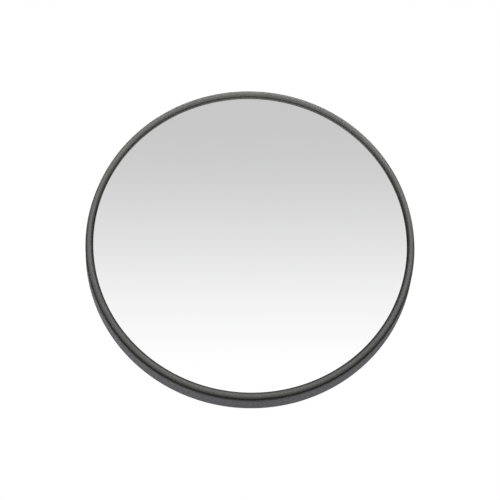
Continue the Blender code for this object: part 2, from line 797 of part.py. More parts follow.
# --- four bolts through the mounting plate, housing and reinforcing plate ----
washer_y = MOUNT_Y + GAP
head_y = washer_y + PLATE_WASHER_T + GAP
nut_y = reinforce_y - GAP
bolt_end = nut_y - PLATE_NUT_H - BOLT_PROUD
plate_bolt_mesh = hex_head_bolt(BOLT_D, head_y - bolt_end, BOLT_FLATS, BOLT_HEAD)
plate_washer_mesh = washer(BOLT_HOLE, PLATE_WASHER_D, PLATE_WASHER_T, BOLT_SIDES)
plate_nut_mesh = nut(BOLT_HOLE, BOLT_FLATS, PLATE_NUT_H, collar=PLATE_NUT_COLLAR)
for k in range(4):
    angle = math.radians(45 + 90 * k)
    x = BOLT_PCD / 2 * math.cos(angle)
    z = BOLT_PCD / 2 * math.sin(angle)
    for owner, name, depth, length in (
        (mount, "mount_hole", 0, BOLT_HOLE_LEN),
        (reinforce, "reinforce_hole", 0, BOLT_HOLE_LEN),
        (housing, "housing_hole", BOSS_DEPTH, BOSS_HOLE_LEN),
    ):
        # world z is local -y in pieces turned to the wall
        at = (x, -z, depth)
        drill(owner, f"{name}_{k + 1}", BOLT_HOLE, at, length=length, sides=BOLT_SIDES)
    for name, mesh, y, turn in (
        ("plate_bolt", plate_bolt_mesh, head_y, TO_WALL),
        ("plate_washer", plate_washer_mesh, washer_y, TO_WALL),
        ("plate_nut", plate_nut_mesh, nut_y, AWAY),
    ):
        place(f"{name}_{k + 1}", mesh, mirror_head, (x, y, z), turn, ZINC)

# drain hole near the bottom of the housing's back
drain_at = (0, DRAIN_DROP, DRAIN_DEPTH)
drill(housing, "drain_hole", DRAIN_D, drain_at, length=BOSS_HOLE_LEN, sides=12)

bpy.context.view_layer.update()
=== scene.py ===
import json
import math

import bmesh
import bpy
from mathutils import Matrix, Vector


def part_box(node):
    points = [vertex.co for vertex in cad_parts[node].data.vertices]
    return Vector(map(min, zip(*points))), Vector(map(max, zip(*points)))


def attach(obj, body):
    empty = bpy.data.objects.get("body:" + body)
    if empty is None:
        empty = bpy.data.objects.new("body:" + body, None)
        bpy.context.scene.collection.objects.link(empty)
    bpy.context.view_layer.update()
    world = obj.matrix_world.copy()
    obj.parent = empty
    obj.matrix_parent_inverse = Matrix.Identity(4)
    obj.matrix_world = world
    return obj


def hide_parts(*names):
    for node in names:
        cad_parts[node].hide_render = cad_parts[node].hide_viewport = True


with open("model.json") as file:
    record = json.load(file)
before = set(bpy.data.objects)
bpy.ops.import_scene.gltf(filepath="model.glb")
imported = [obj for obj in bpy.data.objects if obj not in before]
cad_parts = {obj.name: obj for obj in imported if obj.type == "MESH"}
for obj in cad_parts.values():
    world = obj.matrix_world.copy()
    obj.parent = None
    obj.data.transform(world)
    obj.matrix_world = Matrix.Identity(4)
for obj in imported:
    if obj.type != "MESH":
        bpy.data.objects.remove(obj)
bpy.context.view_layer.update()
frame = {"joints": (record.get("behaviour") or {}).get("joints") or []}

# ---------------------------------------------------------------------------
# Places and sizes read from the frame, in millimetres
# ---------------------------------------------------------------------------
MILLI = 0.001
TO_METRES = Matrix.Diagonal((MILLI, MILLI, MILLI, 1.0))
JOINTS = {joint["name"]: joint for joint in frame["joints"]}


def joint_mm(name):
    return Vector(JOINTS[name]["pos_m"]) / MILLI


def box_mm(node):
    low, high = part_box(node)
    return low / MILLI, high / MILLI


def extent(node, axis):
    low, high = box_mm(node)
    return getattr(high, axis) - getattr(low, axis)


def middle(node, axis):
    low, high = box_mm(node)
    return (getattr(low, axis) + getattr(high, axis)) / 2


PAN = joint_mm("pan_swivel")
TILT = joint_mm("tilt_swivel")
CLAMP = joint_mm("clamp_screw_turn")

LENS_THICK = 3.0
HEAD = Vector((middle("rim_gasket", "x"), 0.0, middle("rim_gasket", "z")))
FLANGE_Y = box_mm("mirror_lens")[1].y - LENS_THICK
HEAD_AT = Vector((HEAD.x, FLANGE_Y, HEAD.z))  # on the front of the lens's flat rim
BEAD_R = extent("rim_gasket", "x") / 2
WALL_R = extent("rear_housing", "x") / 2

# Four bolts hold the plates to the housing
BOLT_R = math.hypot(
    middle("plate_bolt_1", "x") - HEAD.x, middle("plate_bolt_1", "z") - HEAD.z
)
BOLT_ANGLES = [math.radians(45 + 90 * k) for k in range(4)]
BOLT_POINTS = [(BOLT_R * math.cos(a), BOLT_R * math.sin(a)) for a in BOLT_ANGLES]

# Threads: radius, pitch and the clearance bore that goes with them
M6_R, M6_PITCH, M6_BORE = 3.0, 1.0, 6.6
M8_R, M8_PITCH, M8_BORE = 4.0, 1.25, 8.6


# ---------------------------------------------------------------------------
# Turns: where a piece's local axes point
# ---------------------------------------------------------------------------
def columns(x, y, z):
    return Matrix((x, y, z)).transposed()


# Named for where local Z goes
UP = Matrix.Identity(3)
DOWN = columns((1, 0, 0), (0, -1, 0), (0, 0, -1))
TO_WALL = columns((1, 0, 0), (0, 0, -1), (0, 1, 0))
AWAY = columns((1, 0, 0), (0, 0, 1), (0, -1, 0))
RIGHT = columns((0, 0, -1), (0, 1, 0), (1, 0, 0))
LEFT = columns((0, 0, 1), (0, 1, 0), (-1, 0, 0))
# The pan fork: local Y points away from the wall, local X up
PAN_FORK_TURN = columns((0, 0, 1), (0, -1, 0), (1, 0, 0))


# ---------------------------------------------------------------------------
# Shader nodes
# ---------------------------------------------------------------------------
class Nodes:
    """Short calls for building a node tree."""

    def __init__(self, tree):
        self.tree = tree

    def feed(self, socket, value):
        """Link a socket, or set its value; a colour tuple gains its alpha."""
        if isinstance(value, bpy.types.NodeSocket):
            self.tree.links.new(value, socket)
        elif isinstance(value, tuple):
            socket.default_value = (*value, 1.0)
        else:
            socket.default_value = value

    def add(self, kind, inputs=None, **settings):
        node = self.tree.nodes.new(kind)
        for key, value in settings.items():
            setattr(node, key, value)
        for key, value in (inputs or {}).items():
            self.feed(node.inputs[key], value)
        return node

    def ramp(self, source, span=(0.3, 0.7), to=(0.0, 1.0)):
        """Map a span of the source, clamped, to another range."""
        inputs = {
            "From Min": span[0],
            "From Max": span[1],
            "To Min": to[0],
            "To Max": to[1],
            "Value": source,
        }
        return self.add("ShaderNodeMapRange", inputs, clamp=True).outputs["Result"]

    def math(self, operation, *values):
        inputs = dict(enumerate(values))
        return self.add("ShaderNodeMath", inputs, operation=operation).outputs[0]

    def plus(self, first, second):
        return self.math("ADD", first, second)

    def minus(self, first, second):
        return self.math("SUBTRACT", first, second)

    def times(self, first, second):
        return self.math("MULTIPLY", first, second)

    def largest(self, first, second):
        return self.math("MAXIMUM", first, second)

    def vector(self, operation, *values, output="Vector"):
        inputs = dict(enumerate(values))
        return self.add("ShaderNodeVectorMath", inputs, operation=operation).outputs[output]

    def dot(self, first, second):
        return self.vector("DOT_PRODUCT", first, second, output="Value")

    def mix(self, factor, base, over):
        """Colour that goes from base to over as the factor rises."""
        inputs = {0: factor, 6: base, 7: over}
        return self.add("ShaderNodeMix", inputs, data_type="RGBA").outputs[2]


class MaterialNodes(Nodes):
    """A new material and the nodes that feed its Principled shader."""

    def __init__(self, name):
        self.material = bpy.data.materials.new(name)
        self.material.use_nodes = True
        super().__init__(self.material.node_tree)
        self.shader = self.tree.nodes["Principled BSDF"]
        self.coords = self.add("ShaderNodeTexCoord").outputs["Object"]
        self.normal = None

    def noise(self, scale, detail=3.0, rough=0.55, distortion=0.0, coords=None):
        inputs = {
            "Scale": scale,
            "Detail": detail,
            "Roughness": rough,
            "Distortion": distortion,
            "Vector": coords or self.coords,
        }
        return self.add("ShaderNodeTexNoise", inputs).outputs["Fac"]

    def stretched(self, factors):
        inputs = {"Scale": Vector(factors), "Vector": self.coords}
        return self.add("ShaderNodeMapping", inputs).outputs["Vector"]

    def position(self):
        split = self.add("ShaderNodeSeparateXYZ", {"Vector": self.coords})
        return split.outputs["X"], split.outputs["Y"], split.outputs["Z"]

    def worn_edges(self, radius, span):
        """1 on outside edges, from how far a rounded normal leans from the true one."""
        bevel = self.add("ShaderNodeBevel", {"Radius": radius}, samples=4)
        geometry = self.add("ShaderNodeNewGeometry")
        same = self.dot(bevel.outputs["Normal"], geometry.outputs["Normal"])
        return self.ramp(self.minus(1.0, same), span)

    def hollow(self, distance, span):
        """1 in creases and corners, 0 in the open: a mask for painted shade."""
        node = self.add("ShaderNodeAmbientOcclusion", {"Distance": distance}, samples=16)
        return self.minus(1.0, self.ramp(node.outputs["AO"], span))

    def bump(self, height, distance, strength):
        """Lay a bump, its distance in metres, over those already there."""
        inputs = {"Distance": distance, "Strength": strength, "Height": height}
        if self.normal is not None:
            inputs["Normal"] = self.normal
        self.normal = self.add("ShaderNodeBump", inputs).outputs["Normal"]
        self.feed(self.shader.inputs["Normal"], self.normal)

    def set(self, **values):
        for key, value in values.items():
            self.feed(self.shader.inputs[key.replace("_", " ")], value)


def grey(value):
    return (value, value, value)


# ---------------------------------------------------------------------------
# Materials
# ---------------------------------------------------------------------------
def mirror_material():
    """Second-surface mirror behind acrylic: almost perfect, with a breath of haze."""
    mat = MaterialNodes("look_mirror")
    haze = mat.noise(scale=14.0, detail=4.0, rough=0.6)
    dust = mat.noise(scale=900.0, detail=2.0, rough=0.5)
    fleck = mat.ramp(dust, span=(0.70, 0.80))
    haze_rough = mat.ramp(haze, span=(0.35, 0.75), to=(0.006, 0.03))
    fleck_rough = mat.times(fleck, 0.05)
    rough = mat.plus(haze_rough, fleck_rough)
    tint = mat.mix(
        mat.ramp(haze, span=(0.3, 0.8)),
        base=(0.970, 0.971, 0.972),
        over=(0.961, 0.962, 0.963),
    )
    mat.set(Base_Color=tint, Metallic=1.0, Roughness=rough)
    swell = mat.noise(scale=7.0, detail=1.0, rough=0.4)
    mat.bump(swell, distance=0.00002, strength=0.25)
    return mat.material


def rubber_material():
    """Extruded charcoal edging: satin, faint cloudy bloom, fine grain."""
    mat = MaterialNodes("look_edge_rubber")
    bloom = mat.noise(scale=22.0, detail=5.0, rough=0.6)
    fine = mat.noise(scale=700.0, detail=3.0, rough=0.6)
    grain = mat.noise(scale=3200.0, detail=2.0, rough=0.5)
    shade = mat.plus(
        mat.ramp(bloom, to=(0.0, 0.6)), mat.ramp(fine, span=(0.35, 0.65), to=(0.0, 0.4))
    )
    colour = mat.mix(shade, base=(0.042, 0.0415, 0.040), over=(0.055, 0.0545, 0.0525))
    # radius from the head's axis and height above it, in metres
    x, _, z = mat.position()
    across = mat.minus(x, HEAD.x * MILLI)
    height = mat.minus(z, HEAD.z * MILLI)
    squares = mat.plus(mat.times(across, across), mat.times(height, height))
    radius = mat.math("SQRT", squares)
    # shade in the crease behind the bead
    crease = mat.times(
        mat.hollow(distance=0.007, span=(0.4, 0.9)), mat.ramp(radius, span=(0.2230, 0.2255))
    )
    # painted shade on the bead's inner side along the lens: a narrow line above, a wider one below
    high_line = mat.times(
        mat.ramp(radius, span=(0.2205, 0.2222), to=(1.0, 0.0)),
        mat.ramp(height, span=(0.02, 0.14), to=(0.7, 0.15)),
    )
    low_line = mat.times(
        mat.ramp(radius, span=(0.2213, 0.2231), to=(1.0, 0.0)),
        mat.ramp(height, span=(-0.17, -0.02), to=(0.8, 0.1)),
    )
    lens_side_shade = mat.largest(high_line, low_line)
    # painted shade: the bead's outer flank darker towards its outer edge
    outer_flank_shade = mat.ramp(radius, span=(0.2252, 0.2272), to=(0.0, 0.52))
    crease_dark = mat.times(crease, 0.8)
    # the crease, lens-side and outer-flank painted shade together
    dark = mat.largest(crease_dark, mat.largest(lens_side_shade, outer_flank_shade))
    # painted shade: the bead's colour darker towards the bottom of the head
    lower_half_shade = mat.ramp(height, span=(-0.1, 0.2), to=(0.4, 0.0))
    colour = mat.mix(lower_half_shade, base=colour, over=grey(0.02))
    colour = mat.mix(dark, base=colour, over=grey(0.006))
    mat.set(
        Base_Color=colour,
        Roughness=mat.ramp(fine, to=(0.46, 0.60)),
        Specular_IOR_Level=mat.ramp(dark, span=(0.0, 1.0), to=(0.16, 0.02)),
    )
    mat.bump(fine, distance=0.00004, strength=0.10)
    mat.bump(grain, distance=0.00002, strength=0.10)
    return mat.material


def foam_material():
    """Closed-cell foam: small pits."""
    mat = MaterialNodes("look_seal_foam")
    cells = mat.add("ShaderNodeTexVoronoi", {"Scale": 900.0, "Vector": mat.coords})
    pits = mat.ramp(cells.outputs["Distance"], span=(0.1, 0.6))
    colour = mat.mix(pits, base=grey(0.015), over=grey(0.04))
    rough = mat.ramp(pits, span=(0.0, 1.0), to=(0.85, 1.0))
    mat.set(Base_Color=colour, Roughness=rough, Specular_IOR_Level=0.2)
    mat.bump(pits, distance=0.0003, strength=0.8)
    return mat.material


def housing_material():
    """Moulded casing: fine spark-eroded texture with slight flow marks."""
    mat = MaterialNodes("look_housing")
    flow = mat.noise(scale=6.0, detail=3.0, rough=0.5, distortion=0.8)
    leather = mat.noise(scale=1400.0, detail=3.0, rough=0.65)
    dust = mat.noise(scale=60.0, detail=5.0, rough=0.7)
    shade = mat.plus(
        mat.ramp(flow, to=(0.0, 0.5)), mat.ramp(dust, span=(0.45, 0.75), to=(0.0, 0.5))
    )
    colour = mat.mix(shade, base=(0.0445, 0.0445, 0.047), over=(0.054, 0.054, 0.0565))
    edge = mat.worn_edges(radius=0.0008, span=(0.02, 0.16))
    faint_edge = mat.times(edge, 0.1)
    colour = mat.mix(faint_edge, base=colour, over=(0.12, 0.12, 0.124))
    # painted shade in the casing's creases and corners
    hollow = mat.hollow(distance=0.014, span=(0.45, 0.95))
    hollow_shade = mat.times(hollow, 0.88)
    colour = mat.mix(hollow_shade, base=colour, over=grey(0.008))
    # painted shadow just behind the wall's front lip
    _, y, _ = mat.position()
    lip_shadow_span = ((FLANGE_Y + 8.6) * MILLI, (FLANGE_Y + 12.0) * MILLI)
    lip_shadow = mat.ramp(y, lip_shadow_span, to=(0.62, 0.0))
    colour = mat.mix(lip_shadow, base=colour, over=grey(0.010))
    mat.set(
        Base_Color=colour,
        Roughness=mat.ramp(leather, to=(0.52, 0.68)),
        Specular_IOR_Level=mat.ramp(hollow, span=(0.0, 1.0), to=(0.32, 0.0)),
    )
    mat.bump(leather, distance=0.00003, strength=0.04)
    return mat.material


def powder_material():
    """Black powder coat: orange peel, rubbed at its corners."""
    mat = MaterialNodes("look_powder_coat")
    peel = mat.noise(scale=650.0, detail=2.0, rough=0.5)
    speck = mat.noise(scale=2600.0, detail=2.0, rough=0.5)
    patches = mat.noise(scale=35.0, detail=4.0, rough=0.6)
    colour = mat.mix(mat.ramp(patches), base=(0.020, 0.020, 0.021), over=(0.032, 0.032, 0.034))
    rub = mat.times(
        mat.worn_edges(radius=0.0006, span=(0.06, 0.22)),
        mat.ramp(mat.noise(scale=120.0, detail=4.0, rough=0.7), span=(0.42, 0.62)),
    )
    colour = mat.mix(rub, base=colour, over=(0.16, 0.155, 0.15))
    rough = mat.ramp(patches, span=(0.25, 0.75), to=(0.34, 0.48))
    bare_metal = mat.times(rub, 0.5)
    mat.set(Base_Color=colour, Roughness=rough, Metallic=bare_metal, Specular_IOR_Level=0.5)
    mat.bump(peel, distance=0.00014, strength=0.55)
    mat.bump(speck, distance=0.00003, strength=0.4)
    return mat.material


def zinc_material(name, stretch):
    """Bright zinc plate: cloudy colour, fine lines drawn by the stretch, dull spots."""
    mat = MaterialNodes(name)
    cloud = mat.noise(scale=90.0, detail=4.0, rough=0.65)
    lines = mat.noise(scale=420.0, detail=3.0, rough=0.6, coords=mat.stretched(stretch))
    spots = mat.noise(scale=1500.0, detail=2.0, rough=0.5)
    colour = mat.mix(mat.ramp(cloud), base=(0.60, 0.61, 0.63), over=(0.68, 0.66, 0.60))
    spotted = mat.ramp(spots, span=(0.62, 0.75), to=(0.0, 0.35))
    colour = mat.mix(spotted, base=colour, over=(0.36, 0.36, 0.37))
    rough = mat.plus(mat.ramp(cloud, to=(0.24, 0.36)), mat.ramp(lines, to=(0.0, 0.08)))
    mat.set(Base_Color=colour, Metallic=1.0, Roughness=rough)
    mat.bump(lines, distance=0.00004, strength=0.35)
    return mat.material


def plastic_material(name, dark, light, rough, grain, edge=None):
    """Moulded plastic with a fine grain and, given an edge colour, rubbed corners."""
    mat = MaterialNodes(name)
    patch = mat.noise(scale=70.0, detail=4.0, rough=0.6)
    fine = mat.noise(scale=grain, detail=3.0, rough=0.6)
    colour = mat.mix(mat.ramp(patch), base=dark, over=light)
    if edge:
        half_rubbed = mat.times(mat.worn_edges(radius=0.0007, span=(0.03, 0.2)), 0.5)
        colour = mat.mix(half_rubbed, base=colour, over=edge)
    mat.set(
        Base_Color=colour,
        Roughness=mat.ramp(fine, to=(rough - 0.05, rough + 0.08)),
        Specular_IOR_Level=0.45,
    )
    mat.bump(fine, distance=0.00005, strength=0.45)
    return mat.material


def brass_material():
    """Brass: cloudy, with fine lines."""
    mat = MaterialNodes("look_brass")
    cloud = mat.noise(scale=160.0, detail=4.0, rough=0.6)
    squashed = mat.stretched(factors=(1.0, 1.0, 0.2))
    lines = mat.noise(scale=900.0, detail=2.0, rough=0.5, coords=squashed)
    colour = mat.mix(mat.ramp(cloud), base=(0.70, 0.50, 0.20), over=(0.58, 0.42, 0.19))
    rough = mat.plus(mat.ramp(cloud, to=(0.22, 0.34)), mat.ramp(lines, to=(0.0, 0.06)))
    mat.set(Base_Color=colour, Metallic=1.0, Roughness=rough)
    mat.bump(lines, distance=0.00003, strength=0.4)
    return mat.material


def cast_material():
    """Die-cast aluminium: grey skin with small pits, brighter on its rubbed edges."""
    mat = MaterialNodes("look_cast_aluminium")
    skin_noise = mat.noise(scale=260.0, detail=5.0, rough=0.7)
    pits = mat.noise(scale=1300.0, detail=2.0, rough=0.5)
    colour = mat.mix(mat.ramp(skin_noise), base=(0.34, 0.345, 0.35), over=(0.46, 0.465, 0.47))
    edge = mat.times(mat.worn_edges(radius=0.0008, span=(0.04, 0.2)), 0.6)
    colour = mat.mix(edge, base=colour, over=grey(0.66))
    skin_rough = mat.ramp(skin_noise, to=(0.46, 0.6))
    edge_polish = mat.times(edge, 0.2)
    mat.set(Base_Color=colour, Metallic=0.85, Roughness=mat.minus(skin_rough, edge_polish))
    mat.bump(skin_noise, distance=0.00018, strength=0.5)
    mat.bump(pits, distance=0.00006, strength=0.6)
    return mat.material


def weld_material():
    """Painted weld: the coat's tone follows fine ripples."""
    mat = MaterialNodes("look_painted_weld")
    ripples = mat.noise(scale=420.0, detail=3.0, rough=0.6)
    colour = mat.mix(
        mat.ramp(ripples, span=(0.35, 0.65)),
        base=(0.018, 0.018, 0.019),
        over=(0.034, 0.034, 0.035),
    )
    mat.set(
        Base_Color=colour, Roughness=mat.ramp(ripples, to=(0.32, 0.5)), Specular_IOR_Level=0.5
    )
    mat.bump(ripples, distance=0.0002, strength=0.5)
    return mat.material


LOOK = {
    "mirrored_acrylic": mirror_material(),
    "edge_rubber": rubber_material(),
    "seal_foam": foam_material(),
    "housing_plastic": housing_material(),
    "powder_coat": powder_material(),
    "zinc_steel": zinc_material("look_zinc", stretch=(1, 1, 1)),
    "nylon": plastic_material(
        "look_nylon", dark=(0.66, 0.65, 0.60), light=(0.74, 0.73, 0.69), rough=0.42, grain=900.0
    ),
    "knob_plastic": plastic_material(
        "look_knob_plastic",
        dark=(0.016, 0.016, 0.017),
        light=(0.024, 0.024, 0.025),
        rough=0.38,
        grain=1100.0,
        edge=grey(0.07),
    ),
    "brass": brass_material(),
    "cast_aluminium": cast_material(),
}
TUBE_ZINC = zinc_material("look_zinc_tube", stretch=(6.0, 0.12, 6.0))
WELD = weld_material()


# ---------------------------------------------------------------------------
# Making and placing pieces
# ---------------------------------------------------------------------------
def object_from(name, shape):
    """Scene object from a bmesh, its faces turned outwards."""
    bmesh.ops.recalc_face_normals(shape, faces=shape.faces)
    mesh = bpy.data.meshes.new(name)
    shape.to_mesh(mesh)
    shape.free()
    obj = bpy.data.objects.new(name, mesh)
    bpy.context.scene.collection.objects.link(obj)
    return obj


def add_cuts(obj, cuts, place=Matrix.Identity(4)):
    """Add a boolean for each (operation, shape) and return the tool objects."""
    tools = []
    for operation, shape in cuts:
        tool = object_from("tool", shape)
        tool.data.transform(place)
        tools.append(tool)
        step = obj.modifiers.new("cut", "BOOLEAN")
        step.operation = operation
        step.solver = "EXACT"
        step.object = tool
    return tools


def bake_modifiers(obj, tools=()):
    """Turn the modified shape into the mesh itself, then drop the tools."""
    bpy.context.view_layer.update()
    graph = bpy.context.evaluated_depsgraph_get()
    mesh = bpy.data.meshes.new_from_object(obj.evaluated_get(graph), depsgraph=graph)
    old = obj.data
    obj.modifiers.clear()
    obj.data = mesh
    bpy.data.meshes.remove(old)
    for tool in tools:
        bpy.data.objects.remove(tool, do_unlink=True)


def dress(obj, look, smooth):
    """Give the mesh its material, smooth below an angle in degrees."""
    obj.data.materials.clear()
    obj.data.materials.append(look)
    obj.data.shade_smooth()
    obj.data.set_sharp_from_angle(angle=math.radians(smooth))


def piece(
    name, shape, body, slot, at=(0, 0, 0), turn=UP, look=None, smooth=35.0, cuts=(), bevel=None
):
    """Make a finished piece: cut it, break its edges, place it, give it its look."""
    obj = object_from(name, shape)
    tools = add_cuts(obj, cuts)
    if bevel:
        step = obj.modifiers.new("edges", "BEVEL")
        step.width = bevel["width"]
        step.segments = bevel["segments"]
        step.limit_method = "ANGLE"
        step.angle_limit = math.radians(40.0)
        step.use_clamp_overlap = True
    if obj.modifiers:
        bake_modifiers(obj, tools)
    obj.data.transform(TO_METRES @ (Matrix.Translation(Vector(at)) @ turn.to_4x4()))
    dress(obj, look or LOOK[slot], smooth)
    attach(obj, body)
    return obj


def stand_in(node, shape, body, slot, name=None, **options):
    """Make the piece that replaces a frame node."""
    obj = piece(name or f"{node}_look", shape, body, slot, **options)
    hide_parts(node)
    return obj


def start(node, centre, turn):
    """The centre moved to the face of the node where its local Z begins."""
    direction = turn.col[2]
    axis = max(range(3), key=lambda k: abs(direction[k]))
    low, high = box_mm(node)
    at = Vector(centre)
    at[axis] = low[axis] if direction[axis] > 0 else high[axis]
    return at


# ---------------------------------------------------------------------------
# Outlines and shapes
# ---------------------------------------------------------------------------
def quarter(steps):
    """Angles from 0 to 90 degrees."""
    return [math.pi / 2 * s / steps for s in range(steps + 1)]


def rounded(points, closed=True, steps=6):
    """Outline with arcs at the corners that carry a third number, their radius."""
    out = []
    count = len(points)
    for i, point in enumerate(points):
        x, y = point[0], point[1]
        radius = point[2] if len(point) > 2 else 0.0
        if radius <= 0 or (not closed and i in (0, count - 1)):
            out.append((x, y))
            continue
        here = Vector((x, y))
        back = Vector(points[i - 1][:2]) - here
        ahead = Vector(points[(i + 1) % count][:2]) - here
        back_dir, ahead_dir = back.normalized(), ahead.normalized()
        angle = back_dir.angle(ahead_dir)
        if abs(angle - math.pi) < 1e-3:
            out.append((x, y))
            continue
        run = min(radius / math.tan(angle / 2), 0.49 * back.length, 0.49 * ahead.length)
        radius = run * math.tan(angle / 2)
        centre = here + (back_dir + ahead_dir).normalized() * (radius / math.sin(angle / 2))
        first = math.atan2(*(here + back_dir * run - centre).yx)
        last = math.atan2(*(here + ahead_dir * run - centre).yx)
        sweep = (last - first + math.pi) % (2 * math.pi) - math.pi
        for s in range(steps + 1):
            turn = first + sweep * s / steps
            out.append((centre.x + radius * math.cos(turn), centre.y + radius * math.sin(turn)))
    return out


def circle(radius, count):
    angles = [2 * math.pi * k / count for k in range(count)]
    return [(radius * math.cos(a), radius * math.sin(a)) for a in angles]


def fluted(radius, depth, flutes, power, count):
    """Circle with flutes sunk into it; a higher power narrows them."""
    points = []
    for k in range(count):
        angle = 2 * math.pi * k / count
        reach = radius - depth * (0.5 - 0.5 * math.cos(flutes * angle)) ** power
        points.append((reach * math.cos(angle), reach * math.sin(angle)))
    return points


def hexagon(flats, count):
    points = []
    for k in range(count):
        angle = 2 * math.pi * k / count
        radius = flats / 2 / math.cos((angle % (math.pi / 3)) - math.pi / 6)
        points.append((radius * math.cos(angle), radius * math.sin(angle)))
    return points


def rounded_rect(width, height, radius, steps=8, inset=0.0):
    """Rectangle with round corners, drawn in all round by the inset."""
    radius = max(radius - inset, 0.05)
    half_width = (width - 2 * inset) / 2 - radius
    half_height = (height - 2 * inset) / 2 - radius
    points = []
    for side_x, side_y, first in ((1, 1, 0.0), (-1, 1, 0.5), (-1, -1, 1.0), (1, -1, 1.5)):
        for s in range(steps + 1):
            angle = math.pi * (first + 0.5 * s / steps)
            points.append(
                (
                    side_x * half_width + radius * math.cos(angle),
                    side_y * half_height + radius * math.sin(angle),
                )
            )
    return points


def level(points, z):
    return [(x, y, z) for x, y in points]


def hoops(stations, count):
    """Circular loops from (radius, z) stations."""
    return [level(circle(radius, count), z) for radius, z in stations]


def squares(size, corner, stations):
    """Rounded square loops from (inset, z) stations."""
    return [level(rounded_rect(size, size, corner, inset=inset), z) for inset, z in stations]


def skin(loops, closed):
    """Faces between loops of equal point count; open skins get end faces."""
    shape = bmesh.new()
    rings = [[shape.verts.new(p) for p in loop] for loop in loops]
    join_rings(shape, rings, closed)
    return shape


def join_rings(shape, rings, closed):
    count = len(rings[0])
    pairs = list(zip(rings, rings[1:]))
    if closed:
        pairs.append((rings[-1], rings[0]))
    for ring, after in pairs:
        for k in range(count):
            n = (k + 1) % count
            shape.faces.new((ring[k], after[k], after[n], ring[n]))
    if not closed:
        shape.faces.new(rings[0])
        shape.faces.new(list(reversed(rings[-1])))


def prism(outline, low, high):
    return skin([level(outline, low), level(outline, high)], closed=False)


def lathe(profile, segments):
    """Solid of revolution about local Z from a closed (radius, z) outline."""
    shape = bmesh.new()
    rings = []
    for radius, z in profile:
        if radius < 1e-6:
            rings.append([shape.verts.new((0, 0, z))])
        else:
            rings.append([shape.verts.new((x, y, z)) for x, y in circle(radius, segments)])
    for i, ring in enumerate(rings):
        after = rings[(i + 1) % len(rings)]
        if len(ring) == 1 and len(after) == 1:
            continue
        for k in range(segments):
            n = (k + 1) % segments
            if len(ring) == 1:
                shape.faces.new((ring[0], after[k], after[n]))
            elif len(after) == 1:
                shape.faces.new((ring[k], after[0], ring[n]))
            else:
                shape.faces.new((ring[k], after[k], after[n], ring[n]))
    return shape


def cylinder(radius, low, high, segments):
    return lathe([(0.0, low), (radius, low), (radius, high), (0.0, high)], segments)


def disc(radius, thick, low_corner, high_corner, segments):
    """Solid disc from z = 0 with rounded rims."""
    outline = [(0.0, 0.0), (radius, 0.0, low_corner), (radius, thick, high_corner), (0.0, thick)]
    return lathe(rounded(outline, closed=False, steps=5), segments)


def ring_shape(inner, outer, low, high, inner_corner, outer_corner, steps, segments):
    """Flat ring or sleeve with rounded rims."""
    outline = [
        (inner, low, inner_corner),
        (outer, low, outer_corner),
        (outer, high, outer_corner),
        (inner, high, inner_corner),
    ]
    return lathe(rounded(outline, steps=steps), segments)


def hole_tool(radius, low, high, chamfer, centre=(0.0, 0.0), sides=40):
    """Cutter along local Z with a chamfer where it leaves the faces low and high."""
    overshoot = 3.0
    mouth = radius + chamfer
    profile = [
        (0.0, low - overshoot),
        (mouth + overshoot, low - overshoot),
        (mouth, low),
        (radius, low + chamfer),
        (radius, high - chamfer),
        (mouth, high),
        (mouth + overshoot, high + overshoot),
        (0.0, high + overshoot),
    ]
    shape = lathe(profile, sides)
    bmesh.ops.translate(shape, verts=shape.verts, vec=(centre[0], centre[1], 0.0))
    return shape


def turned(shape, turn, at=(0, 0, 0)):
    shape.transform(Matrix.Translation(Vector(at)) @ turn.to_4x4())
    return shape


def bolt_holes(low, high, chamfer):
    """Cuts for the four plate bolts; local Y points down."""
    return [
        ("DIFFERENCE", hole_tool(M6_BORE / 2, low, high, chamfer, centre=(x, -z)))
        for x, z in BOLT_POINTS
    ]


# ---------------------------------------------------------------------------
# Fasteners
# ---------------------------------------------------------------------------
HEX_POINTS = 72  # points round a hexagonal part
BOLT_HEAD = 4.0
BOLT_FLATS = 10.0
DOME_R = 9.0
DOME_HEIGHT = 4.6


def hex_chamfer(flats, z_flat, direction):
    """The two loops of a conical corner chamfer on a hexagon's end face."""
    flat_r = flats / 2 * 0.965
    outer = []
    for x, y in hexagon(flats, HEX_POINTS):
        drop = max(0.0, math.hypot(x, y) - flat_r) * math.tan(math.radians(28))
        outer.append((x, y, z_flat - direction * drop))
    return outer, level(circle(flat_r, HEX_POINTS), z_flat)


def threaded(nominal, pitch, low, high, segments, fade_at_high=True):
    """Loops of a 60 degree thread, low to high, that fades out at one end."""
    depth = 0.54 * pitch
    count = max(2, int(math.ceil((high - low) / (pitch / 8))))
    loops = []
    for i in range(count + 1):
        z = low + (high - low) * i / count
        fade = min(1.0, (high - z if fade_at_high else z - low) / pitch)
        loop = []
        for k in range(segments):
            angle = 2 * math.pi * k / segments
            phase = (z / pitch - angle / (2 * math.pi)) % 1.0
            wave = abs(phase - 0.5) * 2.0
            crest = min(1.0, max(0.0, (wave - 0.08) / 0.78))
            radius = nominal - depth * fade * (1.0 - crest)
            loop.append((radius * math.cos(angle), radius * math.sin(angle), z))
        loops.append(loop)
    return loops


